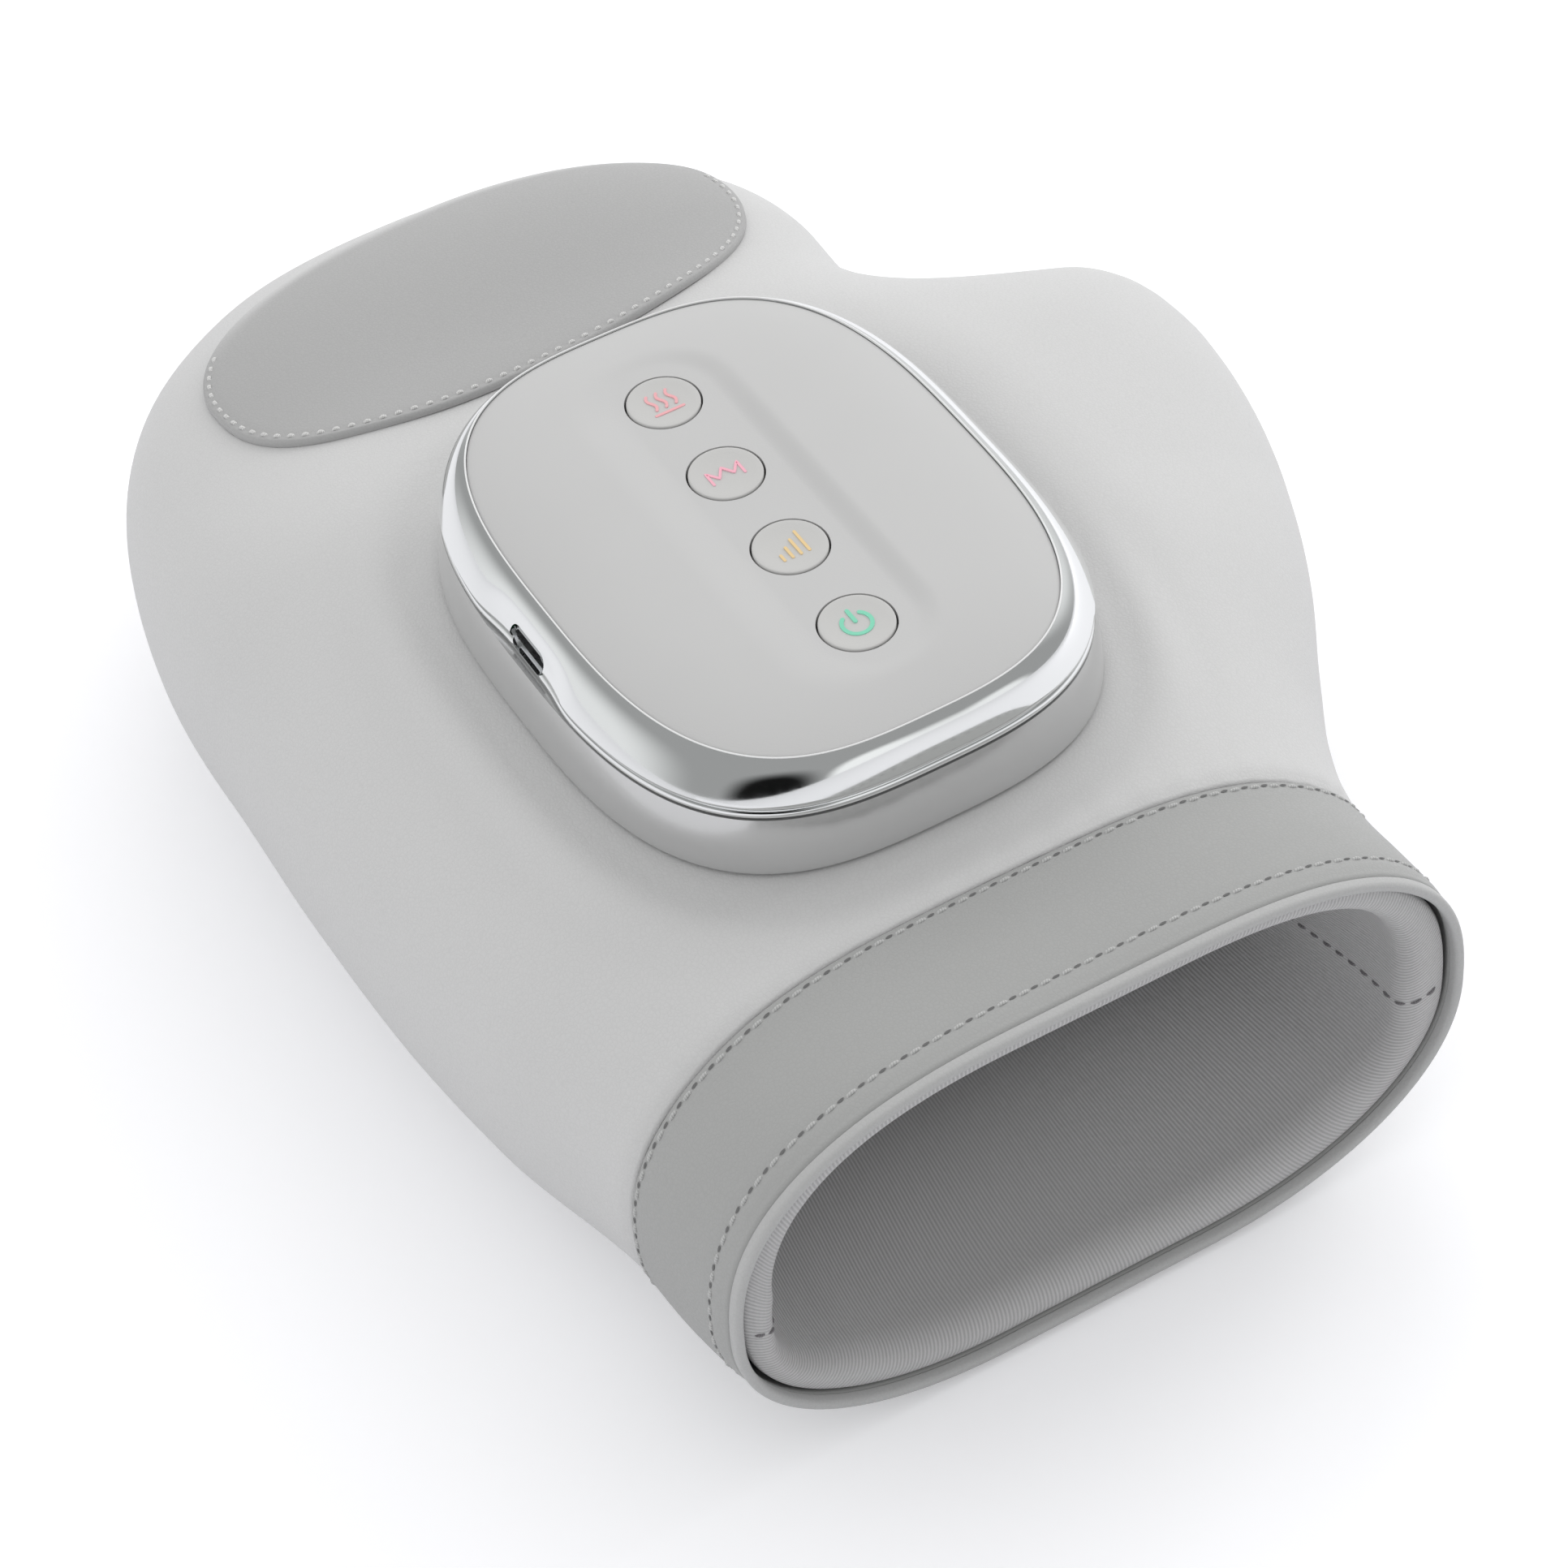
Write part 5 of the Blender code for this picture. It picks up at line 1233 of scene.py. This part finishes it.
def corners(halfX, halfY, inset, *levels):
    # places of a profile that lie the same way inside an outline, at these heights
    return [(halfX - inset, halfY - inset, level) for level in levels]


def housing():
    # skirt with a rounded foot and a leaning side, its wall, the flange, and the tub sunk in the mitt
    halfX, halfY, flange, wall = module["halfX"], module["halfY"], module["flange"], module["moulding"]
    low, foot, middle = seatZ + module["gap"], shell["foot"], shell["middle"]
    profile = [(*middle, tubZ)] + corners(halfX, halfY, flange, tubZ, low)
    for turn in np.linspace(0, math.pi / 2, shell["footSteps"]):
        profile += corners(halfX, halfY, foot * (1 - math.sin(turn)), low + foot * (1 - math.cos(turn)))
    for t in np.linspace(shell["leanFrom"], 1, shell["leanSteps"]):
        lean = t ** shell["leanPower"]
        profile.append((halfX + (bezelX - halfX) * lean, halfY + (bezelY - halfY) * lean,
                        low + foot + (skirtTop - low - foot) * t))
    top = low + shell["flangeThick"]
    profile += corners(bezelX, bezelY, wall, skirtTop) + corners(halfX, halfY, wall, top)
    profile += corners(halfX, halfY, flange + wall, top, tubZ + wall) + [(*middle, tubZ + wall)]
    piece = ringPiece("moduleSkirt", profile, "skirtPlastic")
    ride(piece, "mitt", ["control_housing"])


mirrorRing = {
    "crown": 0.00028, "wideShare": 0.27, "steps": 30, "start": 0.04, "slope": 0.30, "wall": 0.0023,
    # inset and distance under the widest place, then inset and distance over the lower edge
    "groove": ((0.00004, 0.0003), (0.00020, 0.0006), (0.00050, 0.0008), (0.00050, 0.00095), (0.00020, 0.0011),
               (0.00004, 0.0014)),
    "lip": ((0.00002, 0.0003), (0.00010, 0.0001), (0.00030, 0.0)),
    "ledge": 0.0031, "ledgeTop": 0.0026, "ledgeLow": 0.0035,
    # place and size of the painted highlight bead along the panel's edge
    "highlightPlace": 0.00010, "highlightWide": 0.00013, "highlightTall": 0.00012, "highlightSink": 0.00002, "highlightStep": 40,
    "scallopDeep": 0.0013, "scallopHalf": 0.0105, "scallopZ": 0.0780, "scallopTall": 0.0042, "scallopFrom": 0.0008,
    "slotWide": 0.0098, "slotTall": 0.0038, "slotOut": 0.0040, "slotIn": 0.0045, "slotSteps": 20,
}


def scalloped(grid):
    # the outer side is pressed in smoothly round the port
    x, y, z = grid[..., 0], grid[..., 1], grid[..., 2]
    near = np.exp(-(y / mirrorRing["scallopHalf"]) ** 4)
    near = near * np.exp(-((z - mirrorRing["scallopZ"]) / mirrorRing["scallopTall"]) ** 2)
    side = smoothStep(-x, panelX + mirrorRing["scallopFrom"], bezelX)
    grid[..., 0] = x + mirrorRing["scallopDeep"] * near * side
    return grid


def slotCutter():
    # a slot with round ends, drawn out across the ring's outer side
    halfLong, halfWide = mirrorRing["slotWide"] / 2, mirrorRing["slotTall"] / 2
    turn = math.pi * np.arange(mirrorRing["slotSteps"]) / (mirrorRing["slotSteps"] - 1)
    upper = np.column_stack((halfLong - halfWide + halfWide * np.sin(turn), halfWide * np.cos(turn)))
    section = np.concatenate((upper, -upper)) + (0, mirrorRing["scallopZ"])
    return prism("slotCutter", section, -bezelX - mirrorRing["slotOut"], -bezelX + mirrorRing["slotIn"], "x")


def bezel():
    # a mirror-bright ring: a fine inner edge, a crown whose slope grows evenly outwards, a groove,
    # a thin lower lip, and a ledge under the panel
    low, crown = skirtTop + module["gap"], panelZ + mirrorRing["crown"]
    gapX, gapY = panelX + gap, panelY + gap
    wide = low + module["bezelHeight"] * mirrorRing["wideShare"]
    profile = []
    for t in np.linspace(0, 1, mirrorRing["steps"]):
        out = mirrorRing["start"] + (1 - mirrorRing["start"]) * t
        drop = mirrorRing["slope"] * t + (1 - mirrorRing["slope"]) * t * t
        profile.append((gapX + (bezelX - gapX) * out, gapY + (bezelY - gapY) * out, crown - (crown - wide) * drop))
    for inset, drop in mirrorRing["groove"]:
        profile += corners(bezelX, bezelY, inset, wide - drop)
    for inset, rise in mirrorRing["lip"]:
        profile += corners(bezelX, bezelY, inset, low + rise)
    ledgeLow, ledgeTop = panelZ - mirrorRing["ledgeLow"], panelZ - mirrorRing["ledgeTop"]
    profile += corners(bezelX, bezelY, mirrorRing["wall"], low, ledgeLow)
    profile += corners(panelX, panelY, mirrorRing["ledge"], ledgeLow, ledgeTop)
    profile += corners(gapX, gapY, 0, ledgeTop, panelZ)
    piece = ringPiece("chromeRing", profile, "chrome", 50, scalloped)
    cutBy(piece, slotCutter())
    ride(piece, "mitt", ["chrome_bezel"])
    # a pale line that lies between the panel and the ring: a painted highlight along the panel's edge
    line = []
    for turn in np.radians(np.arange(0, 360, mirrorRing["highlightStep"])):
        inset = -mirrorRing["highlightPlace"] - mirrorRing["highlightWide"] * math.cos(turn)
        line += corners(gapX, gapY, inset, crown - mirrorRing["highlightSink"] + mirrorRing["highlightTall"] * math.sin(turn))
    highlightBead = ringPiece("panelEdgeHighlightBead", line, "paleTrim", None)
    ride(highlightBead, "mitt", ())


buttons = {
    "names": ("power", "level", "mode", "heat"), "radius": 0.0055, "pitch": 0.393 * panelY, "shift": -0.00024,
    "dish": 0.0011, "dishHalf": 0.0100, "slope": 0.0040, "slopeLeft": 0.0050, "proud": 0.00015, "gap": 0.0003,
    "sides": 96, "round": 0.00025, "roundAngles": (10, 90, 7), "flangeOut": 0.0010, "flangeThick": 0.0010,
    "stem": 0.0016, "axis": 1e-7,
    # shares of the radius, and heights over the rim
    "hollow": ((0.3, -0.00028), (0.6, -0.00020), (0.8, -0.00008), (0.93, 0.0)), "hollowMiddle": -0.00030,
}
panel = {
    "rings": 120, "ringPower": 1.1, "middle": 0.002, "edgeDrop": 0.00008, "edgeRun": 0.00015,
    "hollowShare": 0.80, "cutUnder": 0.001, "cutOver": 0.004,
}
dishFloor = panelZ + shell["crown"] - buttons["dish"]
buttonY = [buttons["shift"] + buttons["pitch"] * (k - 1.5) for k in range(4)]


def panelLevel(x, y):
    # a dome that falls with a high power of the distance to the rim; a long slot is sunk to a level floor,
    # whose wall rises over the slope
    reach = abs(x / panelX) ** module["exponent"] + abs(y / panelY) ** module["exponent"]
    dome = panelZ + shell["crown"] * (1 - reach ** (shell["crownExponent"] / module["exponent"]))
    away = np.hypot(x, np.maximum(abs(y - buttons["shift"]) - 1.5 * buttons["pitch"], 0)) - buttons["dishHalf"]
    half = (buttons["slope"] + buttons["slopeLeft"] * smoothStep(-x, 0, buttons["dishHalf"])) / 2
    wall = smoothStep(away, -half, half)
    return np.where(dome > dishFloor, dishFloor + (dome - dishFloor) * wall, dome)


def fillHoles(work):
    # closes the middle of the top and of the underside
    bmesh.ops.holes_fill(work, edges=[edge for edge in work.edges if edge.is_boundary], sides=0)


def circle(radius):
    # even steps round a circle
    turn = 2 * math.pi * np.arange(buttons["sides"]) / buttons["sides"]
    return radius * np.column_stack((np.cos(turn), np.sin(turn)))


def topPanel():
    # rings from the rim to the middle, over a flat underside with a flat hollow
    reach = 1 - np.linspace(0, 1, panel["rings"]) ** panel["ringPower"]
    reach[-1] = panel["middle"]
    edgeX, edgeY = panelX + gap - shell["edgeGap"], panelY + gap - shell["edgeGap"]
    rings = superOval(edgeX, edgeY, module["exponent"], theta)[None] * reach[:, None, None]
    away = (1 - reach) * panelX
    drop = panel["edgeDrop"] * np.clip(1 - away / panel["edgeRun"], 0, 1) ** 2
    z = panelLevel(rings[..., 0] * panelX / edgeX, rings[..., 1] * panelX / edgeX) - drop[:, None]
    top = np.concatenate((rings, z[..., None]), axis=-1)
    under, hollow = panelZ - module["panelThick"], dishFloor - module["panelThick"]
    below = ((panel["middle"], hollow), (panel["hollowShare"], hollow), (panel["hollowShare"], under), (1.0, under))
    flat = [np.column_stack((rings[0] * share, np.full(len(theta), level))) for share, level in below]
    grid = np.concatenate((np.array(flat), top))
    piece = meshPiece("modulePanel", grid, gridFaces(*grid.shape[:2], True), "panelPlastic", None, 35)
    editMesh(piece.data, fillHoles)
    facesOutward(piece)
    hole = circle(buttons["radius"] + buttons["gap"])
    low, high = under - panel["cutUnder"], panelZ + panel["cutOver"]
    cutBy(piece, *[prism(f"hole{k}", hole + (0, y), low, high, "z") for k, y in enumerate(buttonY)])
    ride(piece, "mitt", ["top_panel"])


def turnedPiece(name, profile, middle, look):
    # a profile of (radius, height) turned about the upright line through its middle
    rings = [np.column_stack((circle(radius), np.full(buttons["sides"], height))) for radius, height in profile]
    grid = np.array(rings) + middle
    piece = meshPiece(name, grid, gridFaces(*grid.shape[:2], True), look, None, 35)
    facesOutward(piece)
    return piece


def buttonCaps():
    # a shallow hollow, a rounded edge, a flange under the panel, and a stem down to the CAD cap's foot
    top, radius, axis, small = dishFloor + buttons["proud"], buttons["radius"], buttons["axis"], buttons["round"]
    face = [(axis, buttons["hollowMiddle"])] + [(radius * share, height) for share, height in buttons["hollow"]]
    angles = np.radians(np.linspace(*buttons["roundAngles"]))
    edge = [(radius - small * (1 - math.sin(turn)), -small * (1 - math.cos(turn))) for turn in angles]
    flange = dishFloor - module["panelThick"] - module["gap"] - top
    under, wide, stem = flange - buttons["flangeThick"], radius + buttons["flangeOut"], buttons["stem"]
    for name, y in zip(buttons["names"], buttonY):
        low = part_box("button_" + name)[0].z - top
        body = [(radius, flange), (wide, flange), (wide, under), (stem, under), (stem, low), (axis, low)]
        cap = turnedPiece("cap" + name.capitalize(), face + edge + body, (0, y, top), "buttonPlastic")
        ride(cap, "button_" + name, ["button_" + name])


housing()
bezel()
topPanel()
buttonCaps()
print("control module ready")

# ---- lit signs on the buttons

sign = {
    "scale": 0.0027, "lift": 0.00004, "sink": 0.00010, "proud": 0.00010, "faceSink": 0.00026,
    "capAngles": (60, 0, -60), "wideLine": 0.00030, "middleLine": 0.00022, "fineLine": 0.00020,
}


def strokes(name, lines, body, middle, look, half):
    # flat strokes: each line of points is given a width to either side and rounded ends, then a little height
    points, faces = [], []
    angles = np.radians(sign["capAngles"])
    for stroke in lines:
        stroke = np.array(stroke, float) * sign["scale"]
        run = np.gradient(stroke, axis=0)
        run /= np.linalg.norm(run, axis=1, keepdims=True)
        side = np.column_stack((-run[:, 1], run[:, 0])) * half
        start = [stroke[0] - run[0] * half * math.cos(turn) + side[0] * math.sin(turn) for turn in angles]
        end = [stroke[-1] + run[-1] * half * math.cos(turn) - side[-1] * math.sin(turn) for turn in angles]
        edge = np.concatenate((stroke + side, end[::-1], (stroke - side)[::-1], start[::-1]))
        n, count, first = len(stroke), len(edge), len(points)
        for level in (sign["lift"] - sign["sink"], sign["lift"] + sign["proud"]):
            points += [(middle[0] + a, middle[1] + b, middle[2] + level) for a, b in edge]
        flat = [(k, k + 1, 2 * n + 1 - k, 2 * n + 2 - k) for k in range(n - 1)]
        flat += [(n - 1, n, n + 1, n + 2, n + 3), (0, 2 * n + 2, 2 * n + 3, 2 * n + 4, 2 * n + 5)]
        faces += [tuple(first + corner for corner in face[::-1]) for face in flat]
        faces += [tuple(first + count + corner for corner in face) for face in flat]
        faces += sideFaces(count, first)
    piece = meshPiece(name, points, faces, look, None, 30)
    facesOutward(piece)
    ride(piece, body, ())


def arcLine(radius, start, end, count):
    # even steps along an arc, by degrees
    turn = np.radians(np.linspace(start, end, count))
    return radius * np.column_stack((np.cos(turn), np.sin(turn)))


def wavyLine(x, bottom, top, swing, count=22):
    # one whole sine wave on the way up
    y = np.linspace(bottom, top, count)
    return np.column_stack((x + swing * np.sin((y - bottom) / (top - bottom) * 2 * math.pi), y))


def litSigns():
    # drawn in shares of the signs' scale
    face = dishFloor + buttons["proud"] - sign["faceSink"]
    places = dict(zip(buttons["names"], ((0, y, face) for y in buttonY)))
    # power: a broken ring with an upright stroke in the break
    power = [arcLine(0.80, 128, 412, 44), ((0, 0.15), (0, 0.55), (0, 1.05))]
    strokes("powerSign", power, "button_power", places["power"], "greenGlow", sign["wideLine"])
    # level: four bars that grow to the right
    heights = {-0.75: -0.30, -0.25: 0.10, 0.25: 0.50, 0.75: 0.90}
    bars = [((x, -0.75), (x, (top - 0.75) / 2), (x, top)) for x, top in heights.items()]
    strokes("levelSign", bars, "button_level", places["level"], "amberGlow", sign["middleLine"])
    # mode: a pulse of peaks and troughs
    across, up = (-0.95, -0.95, -0.45, 0.0, 0.45, 0.95, 0.95), (-0.45, 0.55, -0.15, 0.55, -0.15, 0.55, -0.45)
    steps = np.linspace(0, 6, 49)
    pulse = np.column_stack((np.interp(steps, range(7), across), np.interp(steps, range(7), up)))
    strokes("modeSign", [pulse], "button_mode", places["mode"], "pinkGlow", sign["fineLine"])
    # heat: three wavy lines over a flat one
    heat = [wavyLine(x, -0.35, 0.90, 0.13) for x in (-0.60, 0.0, 0.60)]
    heat.append(((-0.85, -0.75), (0, -0.75), (0.85, -0.75)))
    strokes("heatSign", heat, "button_heat", places["heat"], "redGlow", sign["middleLine"])


litSigns()
print("signs ready")

# ---- finishes of the CAD pieces that stay

nodeLooks = {
    "hose": ("air_link_hose", "pump_hose"),
    "boardGreen": ("main_board", "port_board"),
    "greyPlastic": ("button_frame", "valve_body_1", "valve_body_2"),
    "cellWrap": ("battery_cell",),
    "brass": ("pump_eccentric",),
    "blackPlastic": ("clamp_plate", "pump_cage", "pump_head", "air_manifold",
                     *("switch_" + name for name in buttons["names"])),
    "steel": ("charging_port", "pump_motor", "valve_plunger_1", "valve_plunger_2",
              *(f"{kind}_screw_{number}" for kind in ("clamp", "board") for number in range(1, 5))),
}
for look, names in nodeLooks.items():
    for name in names:
        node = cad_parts[name]
        node.data.materials.clear()
        node.data.materials.append(looks[look])
print("inner pieces finished")
